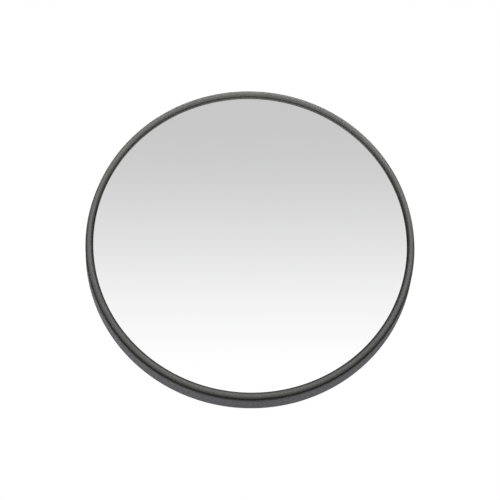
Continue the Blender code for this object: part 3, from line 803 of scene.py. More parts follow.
def hex_bolt(node, at, turn, body, length):
    """M6 bolt: dished hexagon head above z = 0, shank below it."""
    half = BOLT_FLATS / 2
    top_outer, top_inner = hex_chamfer(BOLT_FLATS, BOLT_HEAD, 1)
    low_outer, low_inner = hex_chamfer(BOLT_FLATS, 0.35, -1)
    dish = [(half * 0.4, BOLT_HEAD - 0.22), (half * 0.82, BOLT_HEAD - 0.18), (half * 0.90, BOLT_HEAD)]
    neck = [(half * 0.93, 0.0), (M6_R + 0.3, 0.0), (M6_R, -0.3)]
    thread = threaded(M6_R, M6_PITCH, -length + 0.7, -length * 0.32, HEX_POINTS)
    loops = hoops(dish, HEX_POINTS)
    loops += [top_inner, top_outer, low_outer, low_inner]
    loops += hoops(neck, HEX_POINTS)
    loops += reversed(thread)
    loops += hoops([(M6_R - 0.62, -length)], HEX_POINTS)
    stand_in(node, skin(loops, closed=False), body, "zinc_steel", at=at, turn=turn, smooth=32.0)


def hex_nut(node, centre, turn, body, slot, bore, flats, height, collar=0.0):
    """Hexagon nut; a collar adds a round neck of that height on its far end."""
    top = height - collar
    half_bore = bore / 2
    low_outer, low_inner = hex_chamfer(flats, 0.0, -1)
    high_outer, high_inner = hex_chamfer(flats, top, 1)
    loops = hoops([(half_bore + 0.5, 0.0)], HEX_POINTS)
    loops += [low_inner, low_outer, high_outer, high_inner]
    bore_top = height
    if collar:
        neck = flats / 2 * 0.90
        bore_top = height - 0.5
        stations = [(neck + 0.05, top + 0.05)]
        stations += [
            (neck - 0.6 + 0.6 * math.cos(a), height - 0.6 + 0.6 * math.sin(a)) for a in quarter(5)
        ]
        stations += [(half_bore + 0.9, height), (half_bore + 0.8, bore_top)]
        loops += hoops(stations, HEX_POINTS)
    bore_stations = [(half_bore + 0.4, bore_top), (half_bore, bore_top - 0.4), (half_bore, 0.5)]
    loops += hoops(bore_stations, HEX_POINTS)
    stand_in(
        node, skin(loops, closed=True), body, slot,
        at=start(node, centre, turn), turn=turn, smooth=32.0,
    )


def flat_washer(node, centre, turn, body, slot, bore, outer, thick, corner=0.25):
    shape = ring_shape(
        bore / 2, outer / 2, 0.0, thick,
        inner_corner=corner * 0.6, outer_corner=corner, steps=4, segments=72,
    )
    stand_in(node, shape, body, slot, at=start(node, centre, turn), turn=turn, smooth=40.0)


def carriage_bolt(node, body, at, turn, length):
    """M8 bolt: domed head above z = 0, shank below it, threaded at its end."""
    count = 64
    edge = 0.55
    stations = []
    for s in range(1, 13):
        radius = DOME_R * 0.965 * s / 12
        fall = (1 - (radius / DOME_R) ** 2) ** 0.62
        stations.append((radius, edge + (DOME_HEIGHT - edge) * fall))
    stations += [
        (DOME_R - 0.08, 0.75),
        (DOME_R, 0.45),
        (DOME_R - 0.12, 0.1),
        (DOME_R - 0.4, 0.0),
        (M8_R + 0.25, 0.0),
        (M8_R, -0.3),
    ]
    loops = hoops(stations, count)
    loops += reversed(threaded(M8_R, M8_PITCH, -length + 0.8, -length + 16.0, count))
    loops += hoops([(M8_R - 0.8, -length)], count)
    stand_in(node, skin(loops, closed=False), body, "zinc_steel", at=at, turn=turn, smooth=36.0)


def hand_knob(node, body, centre, turn, pocket, bore):
    """Six-lobed knob with a ribbed hub and a dished cap; pocket and bore are
    (diameter, depth) from the hub's end."""
    count = 144
    height = 20.6
    pocket_r, pocket_depth = pocket[0] / 2, pocket[1]
    bore_r, bore_depth = bore[0] / 2, bore[1]
    lobe_r, low_round, high_round = 18.0, 1.3, 2.2

    def lobes(inset, z):
        return level(fluted(lobe_r - inset, 3.2, flutes=6, power=1.5, count=count), z)

    inside_and_hub = [
        (bore_r * 0.5, bore_depth),
        (bore_r, bore_depth),
        (bore_r, pocket_depth),
        (pocket_r, pocket_depth),
        (pocket_r, 0.35),
        (pocket_r + 0.3, 0.0),
        (9.0, 0.0),
        (9.3, 0.35),
        (9.35, 0.9),
    ]
    cap = [
        (11.2, height + 0.2),
        (9.4, height + 0.4),
        (9.0, height + 0.32),
        (8.7, height - 0.1),
        (8.3, height - 0.3),
        (4.0, height - 0.62),
        (0.8, height - 0.7),
    ]
    ribs = fluted(9.45, 0.28, flutes=24, power=1.0, count=count)
    # fillet from the hub out to the lobes' lower edge
    fillet = [
        (9.4 + 1.6 * (1 - math.cos(a)), 6.2 + 1.5 * math.sin(a)) for a in quarter(5)[1:]
    ]
    loops = hoops(inside_and_hub, count)
    loops += [level(ribs, 1.5), level(ribs, 6.0)]
    loops += hoops(fillet, count)
    loops += [
        lobes(low_round * (1 - math.sin(a)), 8.0 + low_round * (1 - math.cos(a)))
        for a in quarter(6)
    ]
    loops += [
        lobes(high_round * (1 - math.cos(a)), height - high_round + high_round * math.sin(a))
        for a in quarter(8)
    ]
    loops += hoops(cap, count)
    stand_in(
        node, skin(loops, closed=False), body, "knob_plastic",
        at=start(node, centre, turn), turn=turn, smooth=38.0,
    )


# ---------------------------------------------------------------------------
# The mirror head: local Z runs from the flange's front towards the wall
# ---------------------------------------------------------------------------
LENS_SPHERE = 616.0  # radius of the dome's sphere
LENS_EDGE = 219.4  # radius where the dome meets the flat rim
LENS_BACK_EDGE = 215.9
LENS_RIM = 223.5

# Columns: radius, depth behind the flange's front, corner radius
HOUSING_OUTLINE = [
    (207.0, 5.0, 0.4),
    (216.2, 5.0),
    (216.2, 3.3, 0.3),
    (223.3, 3.3, 0.4),
    (223.3, 5.3, 0.4),
    (220.0, 5.3, 0.3),
    (220.0, 7.75, 0.3),
    (224.4, 7.75, 0.3),
    (224.7, 10.6, 0.4),
    (226.2, 10.6, 0.4),
    (226.3, 8.1, 0.5),
    (WALL_R, 8.1, 0.8),
    (WALL_R - 0.3, 41.7, 3.4),
    (192.0, 44.6, 6.0),
    (187.0, 47.0, 6.0),
    (74.0, 48.2, 3.0),
    (68.0, 50.0, 1.6),
    (0.0, 50.0),
    (0.0, 47.0),
    (66.4, 47.0, 1.0),
    (72.4, 45.2, 3.0),
    (185.8, 44.0, 3.0),
    (190.8, 41.6, 3.0),
    (225.3, 38.6, 2.4),
    (225.6, 17.0, 1.5),
    (221.6, 14.6, 1.5),
    (221.5, 10.9, 0.8),
    (216.6, 10.8, 1.0),
    (216.2, 8.2, 0.5),
    (207.0, 8.2, 0.4),
]


def dome(edge, sphere, centre, steps):
    """Profile of a spherical cap from the axis out to its edge."""
    radii = [edge * k / steps for k in range(steps + 1)]
    return [(radius, centre - math.sqrt(sphere**2 - radius**2)) for radius in radii]


def mirror_lens():
    centre = math.sqrt(LENS_SPHERE**2 - LENS_EDGE**2)
    rise = LENS_SPHERE - centre
    back_sphere = (LENS_BACK_EDGE**2 + rise**2) / (2 * rise)
    front = dome(LENS_EDGE, LENS_SPHERE, centre, steps=72)
    back = dome(LENS_BACK_EDGE, back_sphere, back_sphere - rise + LENS_THICK, steps=24)
    rim_outline = [
        (LENS_EDGE, 0.0),
        (LENS_RIM, 0.0, 0.5),
        (LENS_RIM, LENS_THICK, 0.5),
        (LENS_BACK_EDGE, LENS_THICK),
    ]
    rim = rounded(rim_outline, closed=False, steps=4)[1:-1]
    stand_in(
        "mirror_lens", lathe(front + rim + list(reversed(back)), 256),
        "mirror_head", "mirrored_acrylic", at=HEAD_AT, turn=TO_WALL, smooth=8.0,
    )


def rim_gasket():
    """Bead: three quarters of an oval, undercut behind, then the channel's lips."""
    crown_r = 222.9
    centre_z, front, back = 1.2, 6.5, 5.0
    inner_z = -0.7
    inner_width = crown_r - 219.35
    inner_height = front - centre_z + inner_z
    outer_width = BEAD_R - crown_r
    profile = [(LENS_EDGE + 0.1, -0.3)]
    profile += [
        (crown_r - inner_width * math.cos(a), inner_z - inner_height * math.sin(a))
        for a in quarter(12)
    ]
    profile += [
        (crown_r + outer_width * math.sin(a), centre_z - front * math.cos(a))
        for a in quarter(16)[1:]
    ]
    undercut = [math.radians(68.0) * k / 12 for k in range(1, 13)]
    profile += [
        (crown_r + outer_width * math.cos(a), centre_z + back * math.sin(a)) for a in undercut
    ]
    channel = [
        profile[-1],
        (224.4, 7.25, 0.3),
        (220.5, 7.25, 0.5),
        (220.5, 5.6, 0.3),
        (223.8, 5.6, 0.3),
        (223.8, -0.3),
    ]
    profile += rounded(channel, closed=False, steps=4)[1:]
    stand_in(
        "rim_gasket", lathe(profile, 256), "mirror_head", "edge_rubber",
        at=HEAD_AT, turn=TO_WALL, smooth=40.0,
    )


def rear_housing():
    cuts = bolt_holes(46.9, 50.0, chamfer=0.3)
    # one small hole near the bottom of the rear face
    low_hole = hole_tool(3.0, 40.5, 43.5, chamfer=0.4, centre=(0.0, 205.0))
    cuts.append(("DIFFERENCE", low_hole))
    stand_in(
        "rear_housing", lathe(rounded(HOUSING_OUTLINE, steps=7), 256),
        "mirror_head", "housing_plastic", at=HEAD_AT, turn=TO_WALL, smooth=30.0, cuts=cuts,
    )


def lens_seal():
    shape = ring_shape(
        208.5, 215.5, 3.3, 4.7, inner_corner=0.45, outer_corner=0.45, steps=4, segments=192
    )
    stand_in(
        "lens_seal_ring", shape, "mirror_head", "seal_foam", name="lens_seal_look",
        at=HEAD_AT, turn=TO_WALL, smooth=50.0,
    )


def round_plate(node, slot, corner):
    radius, thick = extent(node, "x") / 2, extent(node, "y")
    stand_in(
        node, disc(radius, thick, corner, corner, 160), "mirror_head", slot,
        at=start(node, HEAD, TO_WALL), turn=TO_WALL, smooth=30.0,
        cuts=bolt_holes(0.0, thick, chamfer=0.35),
    )


def plate_fasteners():
    """Washer, bolt and nut at each bolt point; bolts and nuts sit at odd angles."""
    for k, ((x, z), degrees) in enumerate(zip(BOLT_POINTS, (17, -22, 41, 8)), 1):
        centre = (HEAD.x + x, 0.0, HEAD.z + z)
        spin = Matrix.Rotation(math.radians(degrees), 3, "Z")
        washer, bolt, nut = f"plate_washer_{k}", f"plate_bolt_{k}", f"plate_nut_{k}"
        flat_washer(
            washer, centre, TO_WALL, "mirror_head", "zinc_steel",
            bore=M6_BORE, outer=12.0, thick=extent(washer, "y"),
        )
        low, high = box_mm(bolt)
        under_head = high.y - BOLT_HEAD
        hex_bolt(
            bolt, (centre[0], under_head, centre[2]), TO_WALL @ spin, "mirror_head",
            length=under_head - low.y,
        )
        hex_nut(
            nut, centre, AWAY @ spin, "mirror_head", "zinc_steel",
            bore=M6_BORE, flats=10.0, height=extent(nut, "y"), collar=1.6,
        )


# ---------------------------------------------------------------------------
# Forks and knuckle
# ---------------------------------------------------------------------------
FORK_THICK = 3.0
FORK_HALF_GAP = 14.2
FORK_BEND = 2.0  # inside radius
FORK_EAR_R = 15.0
KNUCKLE_HALF = 12.0  # half the length of each barrel
KNUCKLE_R = 12.5
BUSH_R = 5.7


def u_section(reach, tip):
    """U outline, its web at y = -reach and its ears up to y = tip."""
    outer, inner = FORK_HALF_GAP + FORK_THICK, FORK_HALF_GAP
    outer_bend, inner_bend = FORK_BEND + FORK_THICK, FORK_BEND
    right = [
        (
            outer - outer_bend + outer_bend * math.cos(a - math.pi / 2),
            -reach + outer_bend + outer_bend * math.sin(a - math.pi / 2),
        )
        for a in quarter(10)
    ]
    right += [(outer, tip), (inner, tip)]
    right += [
        (
            inner - inner_bend + inner_bend * math.cos(-a),
            -reach + FORK_THICK + inner_bend + inner_bend * math.sin(-a),
        )
        for a in quarter(10)
    ]
    return right + [(-x, y) for x, y in reversed(right)]


def fork(node, body, at, turn, reach, web_half):
    """Strip bent to a U, trimmed to a rounded end, drilled and edge-broken."""
    blank = prism(u_section(reach, tip=18.0), -web_half - 5.0, web_half + 5.0)
    first = math.radians(-8.0)
    angles = [first + (math.pi - 2 * first) * s / 36 for s in range(37)]
    ear = [(FORK_EAR_R * math.cos(a), FORK_EAR_R * math.sin(a)) for a in angles]
    web = [
        ear[-1],
        (-web_half, -reach + 8.0, 6.0),
        (-web_half, -reach - 1.0),
        (web_half, -reach - 1.0),
        (web_half, -reach + 8.0, 6.0),
        ear[0],
    ]
    side_outline = ear + rounded(web, closed=False, steps=6)[1:-1]
    cuts = [
        ("INTERSECT", turned(prism(side_outline, -40.0, 40.0), LEFT)),
        ("DIFFERENCE", turned(cylinder(M8_BORE / 2, -40.0, 40.0, 48), RIGHT)),
    ]
    stand_in(
        node, blank, body, "powder_coat", at=at, turn=turn, smooth=35.0, cuts=cuts,
        bevel={"width": 0.45, "segments": 3},
    )


def forks():
    """Each web lies away from the knuckle: on the mounting plate and on the arm."""
    tilt_reach = TILT.y - box_mm("tilt_fork")[0].y
    fork("tilt_fork", "mirror_head", TILT, UP, tilt_reach, web_half=20.0)
    pan_reach = box_mm("pan_fork")[1].y - PAN.y
    fork("pan_fork", "extension_arm", PAN, PAN_FORK_TURN, pan_reach, web_half=15.0)


def knuckle():
    """Cast block: two barrels joined by a waisted neck, then bored."""
    tilt_y = (TILT - PAN).y

    def barrel():
        return cylinder(KNUCKLE_R, -KNUCKLE_HALF, KNUCKLE_HALF, 64)

    def bore():
        return hole_tool(6.0, -KNUCKLE_HALF, KNUCKLE_HALF, chamfer=0.5, sides=48)

    neck = []
    for s in range(13):
        along = s / 12
        y = -5.0 + (tilt_y + 10.0) * along
        pinch = 1.0 - 0.16 * math.sin(math.pi * along)
        outline = rounded_rect(17.4 * pinch, 19.4 * pinch, 4.2, steps=6)
        neck.append([(x, y, z) for x, z in outline])
    tilt_barrel = turned(barrel(), RIGHT, (0, tilt_y, 0))
    obj = stand_in(
        "swivel_knuckle", barrel(), "knuckle_unit", "cast_aluminium", at=PAN,
        cuts=[("UNION", tilt_barrel), ("UNION", skin(neck, closed=False))],
    )
    # round the joins as a casting would be
    remesh = obj.modifiers.new("cast", "REMESH")
    remesh.mode = "VOXEL"
    remesh.voxel_size = 0.0005
    soft = obj.modifiers.new("soft", "SMOOTH")
    soft.factor = 0.5
    soft.iterations = 9
    bake_modifiers(obj)
    # then cut the bores, crisp
    bores = [
        ("DIFFERENCE", bore()),
        ("DIFFERENCE", turned(bore(), RIGHT, (0, tilt_y, 0))),
    ]
    bake_modifiers(obj, add_cuts(obj, bores, TO_METRES @ Matrix.Translation(PAN)))
    dress(obj, LOOK["cast_aluminium"], smooth=38.0)


def bush(node, centre, turn):
    shape = ring_shape(
        M8_BORE / 2, BUSH_R, 0.0, 2 * KNUCKLE_HALF,
        inner_corner=0.3, outer_corner=0.3, steps=3, segments=64,
    )
    at = centre - turn.col[2] * KNUCKLE_HALF
    stand_in(node, shape, "knuckle_unit", "nylon", at=at, turn=turn, smooth=40.0)


def locks():
    """The pan and tilt locks: washer, knob and brass insert, then the two bolts."""
    for which, centre, turn in (("pan", PAN, DOWN), ("tilt", TILT, RIGHT)):
        handle = f"{which}_lock_handle"
        flat_washer(
            f"{which}_knob_washer", centre, turn, f"{which}_lock_disc", "zinc_steel",
            bore=8.8, outer=18.0, thick=1.6,
        )
        hand_knob(
            f"{which}_knob", handle, centre, turn, pocket=(14.0, 10.4), bore=(9.2, 16.0)
        )
        hex_nut(
            f"{which}_knob_insert", centre, turn, handle, "brass",
            bore=M8_BORE, flats=11.5, height=9.8,
        )
    length = extent("pan_bolt", "z") - DOME_HEIGHT
    top = box_mm("pan_bolt")[1].z - DOME_HEIGHT
    carriage_bolt("pan_bolt", "extension_arm", (PAN.x, PAN.y, top), UP, length)
    left = box_mm("tilt_bolt")[0].x + DOME_HEIGHT
    carriage_bolt("tilt_bolt", "mirror_head", (left, TILT.y, TILT.z), LEFT, length)


def friction_discs():
    for node, centre, turn in (
        ("pan_friction_disc_upper", PAN, UP),
        ("pan_friction_disc_lower", PAN, DOWN),
        ("tilt_friction_disc_right", TILT, RIGHT),
        ("tilt_friction_disc_left", TILT, LEFT),
    ):
        flat_washer(
            node, centre, turn, "knuckle_unit", "nylon",
            bore=M8_BORE, outer=2 * KNUCKLE_R, thick=1.6, corner=0.35,
        )


# ---------------------------------------------------------------------------
# Wall bracket and arm
# ---------------------------------------------------------------------------
TUBE_WALL = 2.0
OUTER_TUBE = 35.0
OUTER_TUBE_CORNER = 3.2
ARM_TUBE = 25.0
SLEEVE = 30.4  # outside of the parts that fit in the outer tube
SLIDE_BORE = 25.6  # inside of the parts that fit round the arm
SLIDE_CORNER = 3.2


def wall_plate():
    width, height = extent("wall_plate", "x"), extent("wall_plate", "z")
    thick = extent("wall_plate", "y")
    front_round, back_round = 0.7, 0.3

    def outline(inset, z):
        return level(rounded_rect(width, height, 12.0, steps=10, inset=inset), z)

    loops = [
        outline(front_round * (1 - math.sin(a)), -thick + front_round * (1 - math.cos(a)))
        for a in quarter(4)
    ]
    loops += [
        outline(back_round * (1 - math.cos(a)), -back_round + back_round * math.sin(a))
        for a in quarter(3)
    ]
    cuts = [
        ("DIFFERENCE", hole_tool(3.5, -thick, 0.0, 0.5, centre=(x, y), sides=48))
        for x in (-36.0, 36.0)
        for y in (-50.0, 50.0)
    ]
    at = (middle("wall_plate", "x"), box_mm("wall_plate")[1].y, middle("wall_plate", "z"))
    stand_in(
        "wall_plate", skin(loops, closed=False), "wall_bracket", "powder_coat",
        at=at, turn=TO_WALL, smooth=32.0, cuts=cuts,
    )


def square_tube(node, body, slot, size, corner, cuts=(), look=None):
    """Square tube, its wall end at z = 0 and its length towards -Z."""
    length = extent(node, "y")
    edge = 0.35
    outside = [
        (edge, 0.0),
        (edge * 0.3, -edge * 0.3),
        (0.0, -edge),
        (0.0, -length + edge),
        (edge * 0.3, -length + edge * 0.3),
        (edge, -length),
    ]
    inside = [(-0.2, -length), (0.0, -length + 0.2), (0.0, -0.2), (-0.2, 0.0)]
    loops = squares(size, corner, outside)
    loops += squares(size - 2 * TUBE_WALL, corner - TUBE_WALL + 0.3, inside)
    stand_in(
        node, skin(loops, closed=True), body, slot, at=(0, box_mm(node)[1].y, 0), turn=TO_WALL,
        smooth=32.0, cuts=cuts, look=look,
    )


def tubes():
    # the clamp screw's hole goes through the +X side of the outer tube
    face = OUTER_TUBE / 2
    hole = hole_tool(4.5, face - TUBE_WALL, face, chamfer=0.3, sides=48)
    along = CLAMP.y - box_mm("outer_tube")[1].y
    square_tube(
        "outer_tube", "wall_bracket", "powder_coat", OUTER_TUBE, OUTER_TUBE_CORNER,
        cuts=[("DIFFERENCE", turned(hole, RIGHT, (0, 0, along)))],
    )
    square_tube(
        "extension_tube", "extension_arm", "zinc_steel", ARM_TUBE, corner=3.0, look=TUBE_ZINC
    )


def gusset(node, side):
    """Triangular web beside the tube, its two tips cut off 3 mm wide."""
    low, high = box_mm(node)
    near, far = (low.x, high.x) if side > 0 else (high.x, low.x)
    outline = [
        (near, high.y),
        (near, low.y),
        (near + side * 3.0, low.y, 1.2),
        (far, high.y - 3.0, 1.2),
        (far, high.y),
    ]
    stand_in(
        node, prism(rounded(outline, steps=5), low.z, high.z), "wall_bracket", "powder_coat",
        smooth=35.0, bevel={"width": 0.35, "segments": 2},
    )


def tube_collar():
    """Sleeve inside the outer tube's mouth, with a rounded flange in front of it."""
    depth = 12.0
    rounding = 1.3
    flange = [(0.3, -0.3), (0.0, -0.6)]
    flange += [
        (rounding * (1 - math.cos(a)), -2.0 - rounding * math.sin(a)) for a in quarter(5)
    ]
    bore = [(-0.7, -3.3), (-0.2, -3.1), (0.0, -2.5), (0.0, 11.6), (-0.3, depth)]
    loops = squares(29.8, 1.0, [(0.0, depth)])
    loops += squares(SLEEVE, 1.2, [(0.0, 11.4), (0.0, -0.3)])
    loops += squares(OUTER_TUBE, OUTER_TUBE_CORNER, flange)
    loops += squares(SLIDE_BORE, SLIDE_CORNER, bore)
    stand_in(
        "tube_collar", skin(loops, closed=True), "wall_bracket", "knob_plastic",
        at=(0, box_mm("tube_collar")[1].y - depth, 0), turn=TO_WALL, smooth=34.0,
    )


def rear_bush():
    """Cap on the arm's wall end, with a narrower square throat through its end."""
    length = extent("rear_slide_bush", "y")
    corner = 1.4
    end_size = SLEEVE - 0.8
    throat_depth = -2.7
    loops = squares(end_size, corner, [(0.0, -length)])
    loops += squares(SLEEVE, corner, [(0.0, -length + 0.5), (0.0, -0.5)])
    loops += squares(end_size, corner, [(0.0, 0.0)])
    loops += squares(16.0, SLIDE_CORNER, [(0.0, 0.0), (0.0, throat_depth)])
    loops += squares(SLIDE_BORE, SLIDE_CORNER, [(0.0, throat_depth), (0.0, -length)])
    stand_in(
        "rear_slide_bush", skin(loops, closed=True), "extension_arm", "nylon",
        at=(0, box_mm("rear_slide_bush")[1].y, 0), turn=TO_WALL, smooth=32.0,
    )


def clamp_parts():
    """Nut on the tube's +X side, pad, screw and knob, all along X."""
    hex_nut(
        "clamp_nut", CLAMP, RIGHT, "wall_bracket", "powder_coat",
        bore=M8_BORE, flats=13.0, height=extent("clamp_nut", "x"),
    )
    stand_in(
        "clamp_pad", disc(3.5, extent("clamp_pad", "x"), 0.3, 0.6, 48), "clamp_tip", "brass",
        at=start("clamp_pad", CLAMP, RIGHT), turn=RIGHT, smooth=40.0,
    )
    count = 48
    length = extent("clamp_screw", "x")
    loops = hoops([(1.2, 0.0), (2.9, 0.0)], count)
    loops += threaded(M8_R, M8_PITCH, 0.5, length - 1.0, count, fade_at_high=False)
    loops += hoops([(M8_R - 0.8, length)], count)
    stand_in(
        "clamp_screw", skin(loops, closed=False), "clamp_handle", "zinc_steel",
        at=start("clamp_screw", CLAMP, RIGHT), turn=RIGHT, smooth=34.0,
    )
    bore_depth = box_mm("clamp_screw")[1].x + 0.3 - box_mm("clamp_knob")[0].x
    hand_knob(
        "clamp_knob", "clamp_handle", CLAMP, RIGHT, pocket=(10.0, 1.0), bore=(M8_BORE, bore_depth)
    )


# ---------------------------------------------------------------------------
# Welds
# ---------------------------------------------------------------------------
def bead(shape, path, radius, closed, pitch):
    """A rippled weld bead along a path of points."""
    points = [Vector(p) for p in path]
    count = len(points)
    sides = 12
    rings = []
    run = 0.0
    for i, point in enumerate(points):
        before = points[i - 1] if closed or i else point
        after = points[(i + 1) % count] if closed or i < count - 1 else point
        along = (after - before).normalized()
        across = along.cross(Vector((0.31, 0.52, 0.79))).normalized()
        third = along.cross(across)
        if i:
            run += (point - points[i - 1]).length
        fade = 1.0
        if not closed:
            # the ends taper over four points
            end = min(i, count - 1 - i) / 4
            fade = math.sqrt(min(1.0, max(end, 0.02)))
        lump = 1.0 + 0.05 * math.sin(run * 0.83) + 0.03 * math.sin(run * 2.1 + 1.0)
        ring = []
        for k in range(sides):
            angle = 2 * math.pi * k / sides
            lag = 0.9 * math.cos(angle)
            ripple = 1.0 + 0.085 * math.cos(2 * math.pi * (run / pitch) + lag)
            reach = radius * fade * ripple * lump
            offset = across * (reach * math.cos(angle)) + third * (reach * math.sin(angle))
            ring.append(shape.verts.new(point + offset))
        rings.append(ring)
    join_rings(shape, rings, closed)


def dense(points, closed):
    """The same path with points about every half millimetre."""
    out = []
    count = len(points)
    for i in range(count if closed else count - 1):
        here, after = Vector(points[i]), Vector(points[(i + 1) % count])
        parts = max(1, int(round((after - here).length / 0.5)))
        out += [here.lerp(after, s / parts) for s in range(parts)]
    if not closed:
        out.append(Vector(points[-1]))
    return out


def rect_path(width, height, corner, y):
    """Closed path round a rectangle across the arm."""
    outline = rounded_rect(width, height, corner, steps=5)
    return dense([(x, y, z) for x, z in outline], closed=True)


def weld(name, body, beads):
    """One piece from (path, radius, closed, ripple pitch) beads."""
    shape = bmesh.new()
    for path, radius, closed, pitch in beads:
        bead(shape, path, radius, closed, pitch)
    piece(name, shape, body, "powder_coat", look=WELD, smooth=60.0)


def welds():
    # round the tube on the wall plate, then along both faces of each gusset
    plate_y = box_mm("wall_plate")[0].y
    beads = [(rect_path(36.0, 36.0, 3.6, plate_y - 0.5), 2.0, True, 2.3)]
    for side, node in ((-1, "gusset_left"), (1, "gusset_right")):
        low, high = box_mm(node)
        tube_x = side * 17.8
        for z in (-1.7, 1.7):
            by_tube = [(tube_x, high.y - 3.0, z), (tube_x, low.y + 3.0, z)]
            by_plate = [(side * 21.6, plate_y - 0.3, z), (side * 42.5, plate_y - 0.3, z)]
            for path in (by_tube, by_plate):
                beads.append((dense(path, closed=False), 1.15, False, 2.3))
    weld("bracket_welds", "wall_bracket", beads)

    nut_path = [(17.7, CLAMP.y + y, CLAMP.z + z) for y, z in hexagon(14.0, 96)]
    weld("clamp_nut_weld", "wall_bracket", [(nut_path, 0.9, True, 1.6)])

    arm_path = rect_path(25.8, 25.8, 3.4, box_mm("extension_tube")[0].y + 0.4)
    weld("pan_fork_weld", "extension_arm", [(arm_path, 1.5, True, 2.0)])

    fork_path = rect_path(26.5, 40.6, 1.4, box_mm("mounting_plate")[1].y + 0.3)
    weld("tilt_fork_weld", "mirror_head", [(fork_path, 1.5, True, 2.0)])


# ---------------------------------------------------------------------------
# Build everything
# ---------------------------------------------------------------------------
mirror_lens()
rim_gasket()
rear_housing()
lens_seal()
round_plate("mounting_plate", "powder_coat", corner=0.8)
round_plate("reinforcing_plate", "zinc_steel", corner=0.4)
plate_fasteners()
forks()
knuckle()
bush("pan_bush", PAN, UP)
bush("tilt_bush", TILT, RIGHT)
locks()
friction_discs()
wall_plate()
tubes()
gusset("gusset_right", 1)
gusset("gusset_left", -1)
tube_collar()
rear_bush()
clamp_parts()
welds()

# ---------------------------------------------------------------------------
# Camera: in front of the mirror, below it and a little towards -X, long lens
# ---------------------------------------------------------------------------
AZIMUTH, ELEVATION = math.radians(-1.62), math.radians(-20.4)
DISTANCE = 6.5
VIEW_WIDTH = 0.6934  # metres seen across the picture at the aim
SENSOR = 36.0
AIM_FORWARD, AIM_LEFT, AIM_DOWN = 0.3, 0.360568, 9.56892  # mm from the flange's centre
TO_CAMERA = Vector(
    (
        math.sin(AZIMUTH) * math.cos(ELEVATION),
        -math.cos(AZIMUTH) * math.cos(ELEVATION),
        math.sin(ELEVATION),
    )
)
VIEW_RIGHT = Vector((math.cos(AZIMUTH), math.sin(AZIMUTH), 0.0))
VIEW_UP = TO_CAMERA.cross(VIEW_RIGHT).normalized()


def add_camera():
    aim = (HEAD_AT + Vector((0, -AIM_FORWARD, 0))) * MILLI
    aim = aim - VIEW_RIGHT * (AIM_LEFT * MILLI) - VIEW_UP * (AIM_DOWN * MILLI)
    data = bpy.data.cameras.new("camera")
    data.sensor_width = SENSOR
    data.lens = SENSOR * DISTANCE / VIEW_WIDTH
    data.clip_end = 60.0
    camera = bpy.data.objects.new("camera", data)
    bpy.context.scene.collection.objects.link(camera)
    facing = columns(VIEW_RIGHT, VIEW_UP, TO_CAMERA).to_4x4()
    camera.matrix_world = Matrix.Translation(aim + TO_CAMERA * DISTANCE) @ facing
    bpy.context.scene.camera = camera


# ---------------------------------------------------------------------------
# Studio: a pale floor, a soft surround that darkens upwards, soft boxes
# ---------------------------------------------------------------------------
# Columns: how far the surround's half-way direction leans up the view, brightness
SKY = [
    (-0.8, 0.55), (-0.4, 0.72), (-0.15, 0.93), (-0.04, 1.06), (0.05, 1.03),
    (0.195, 0.92), (0.341, 0.775), (0.487, 0.648), (0.585, 0.603), (0.68, 0.595),
]
SKY_REACH = 0.8  # the lean at either end of the colour ramp


def add_floor():
    mesh = bpy.data.meshes.new("floor")
    shape = bmesh.new()
    bmesh.ops.create_grid(shape, x_segments=1, y_segments=1, size=60.0)
    bmesh.ops.translate(shape, verts=shape.verts, vec=(0, 0, -2.6))
    shape.to_mesh(mesh)
    shape.free()
    floor = bpy.data.objects.new("floor", mesh)
    bpy.context.scene.collection.objects.link(floor)
    mat = MaterialNodes("look_floor")
    tone = mat.mix(mat.noise(scale=1.5, detail=2.0), base=grey(0.80), over=grey(0.84))
    seen = mat.add("ShaderNodeLightPath").outputs["Is Camera Ray"]
    # it glows brightly for the camera, faintly for other rays
    mat.set(
        Base_Color=tone,
        Roughness=0.8,
        Emission_Color=tone,
        Emission_Strength=mat.ramp(seen, span=(0.0, 1.0), to=(0.12, 0.85)),
    )
    mesh.materials.append(mat.material)
    floor.visible_glossy = False


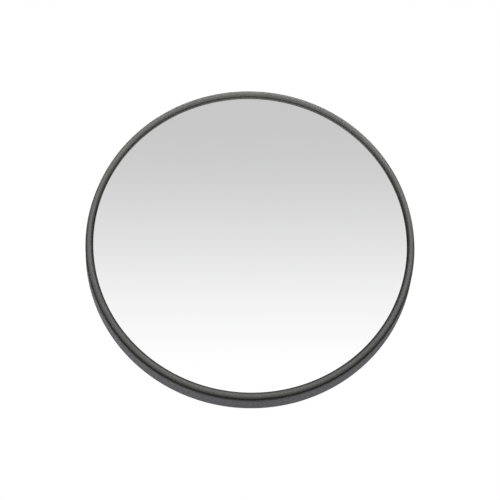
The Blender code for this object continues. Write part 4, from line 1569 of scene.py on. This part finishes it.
def add_world():
    world = bpy.data.worlds.new("studio")
    bpy.context.scene.world = world
    world.use_nodes = True
    world.node_tree.nodes.clear()
    nodes = Nodes(world.node_tree)

    def background(colour, strength):
        inputs = {"Color": colour, "Strength": strength}
        return nodes.add("ShaderNodeBackground", inputs).outputs["Background"]

    def switch(factor, first, second):
        inputs = {0: factor, 1: first, 2: second}
        return nodes.add("ShaderNodeMixShader", inputs).outputs["Shader"]

    # The surround is shaded by the half-way direction between a ray and the
    # camera: on the dome that is the surface's own normal, so the tone runs
    # straight up the mirror.
    ray = nodes.vector("NORMALIZE", nodes.add("ShaderNodeTexCoord").outputs["Generated"])
    half_way = nodes.vector("NORMALIZE", nodes.vector("ADD", ray, TO_CAMERA))
    lean = nodes.dot(half_way, VIEW_UP)
    tone = nodes.add("ShaderNodeValToRGB")
    nodes.feed(tone.inputs["Fac"], nodes.ramp(lean, span=(-SKY_REACH, SKY_REACH)))
    ramp = tone.color_ramp
    ramp.interpolation = "LINEAR"
    while len(ramp.elements) < len(SKY):
        ramp.elements.new(0.5)
    for element, (position, value) in zip(ramp.elements, SKY):
        element.position = (position + SKY_REACH) / (2 * SKY_REACH)
        element.color = (*grey(value), 1.0)

    # A dim band towards the far side keeps edges seen at a glance dark.
    facing = nodes.dot(half_way, TO_CAMERA)
    near_side = nodes.ramp(facing, span=(0.66, 0.742), to=(0.15, 1.0))
    far_side = nodes.ramp(facing, span=(0.28, 0.12), to=(0.15, 1.0))
    soft = background(tone.outputs["Color"], nodes.largest(near_side, far_side))

    # Diffuse rays meet a faint even fill, the camera sees white.
    fill = background((0.97, 0.985, 1.0), strength=0.13)
    white = background((1.0, 1.0, 1.0), strength=1.0)
    path = nodes.add("ShaderNodeLightPath")
    unseen = switch(path.outputs["Is Diffuse Ray"], soft, fill)
    surface = switch(path.outputs["Is Camera Ray"], unseen, white)
    nodes.add("ShaderNodeOutputWorld", {"Surface": surface})


def softbox(name, at, target, size, power):
    """Area light that neither the camera nor a reflection shows."""
    data = bpy.data.lights.new(name, "AREA")
    data.shape = "RECTANGLE"
    data.size, data.size_y = size
    data.energy = power
    light = bpy.data.objects.new(name, data)
    bpy.context.scene.collection.objects.link(light)
    light.location = at
    aim = Vector(target) - Vector(at)
    light.rotation_euler = aim.to_track_quat("-Z", "Y").to_euler()
    light.visible_glossy = False
    light.visible_camera = False


def add_lights():
    head = HEAD_AT * MILLI
    softbox(
        "top_box", at=(0.0, -0.05, 2.2), target=(0.0, -0.05, 0.0), size=(1.7, 1.2), power=90.0
    )
    softbox("crown_box", at=(0.5, -1.7, 1.9), target=head, size=(1.0, 0.8), power=110.0)
    softbox("front_box", at=(-0.2, -3.0, -1.1), target=head, size=(1.4, 1.4), power=225.0)
    for name, x in (("side_box_0", -2.4), ("side_box_2", 2.4)):
        softbox(name, at=(x, 0.9, -0.35), target=head, size=(1.0, 1.0), power=100.0)
    softbox(
        "back_box", at=(-1.6, 1.8, 1.2), target=(0.0, -0.15, 0.0), size=(1.4, 1.4), power=60.0
    )


add_camera()
add_floor()
add_world()
add_lights()

view = bpy.context.scene.view_settings
view.view_transform = "Standard"
view.look = "None"
view.exposure = 0.0
view.gamma = 1.0
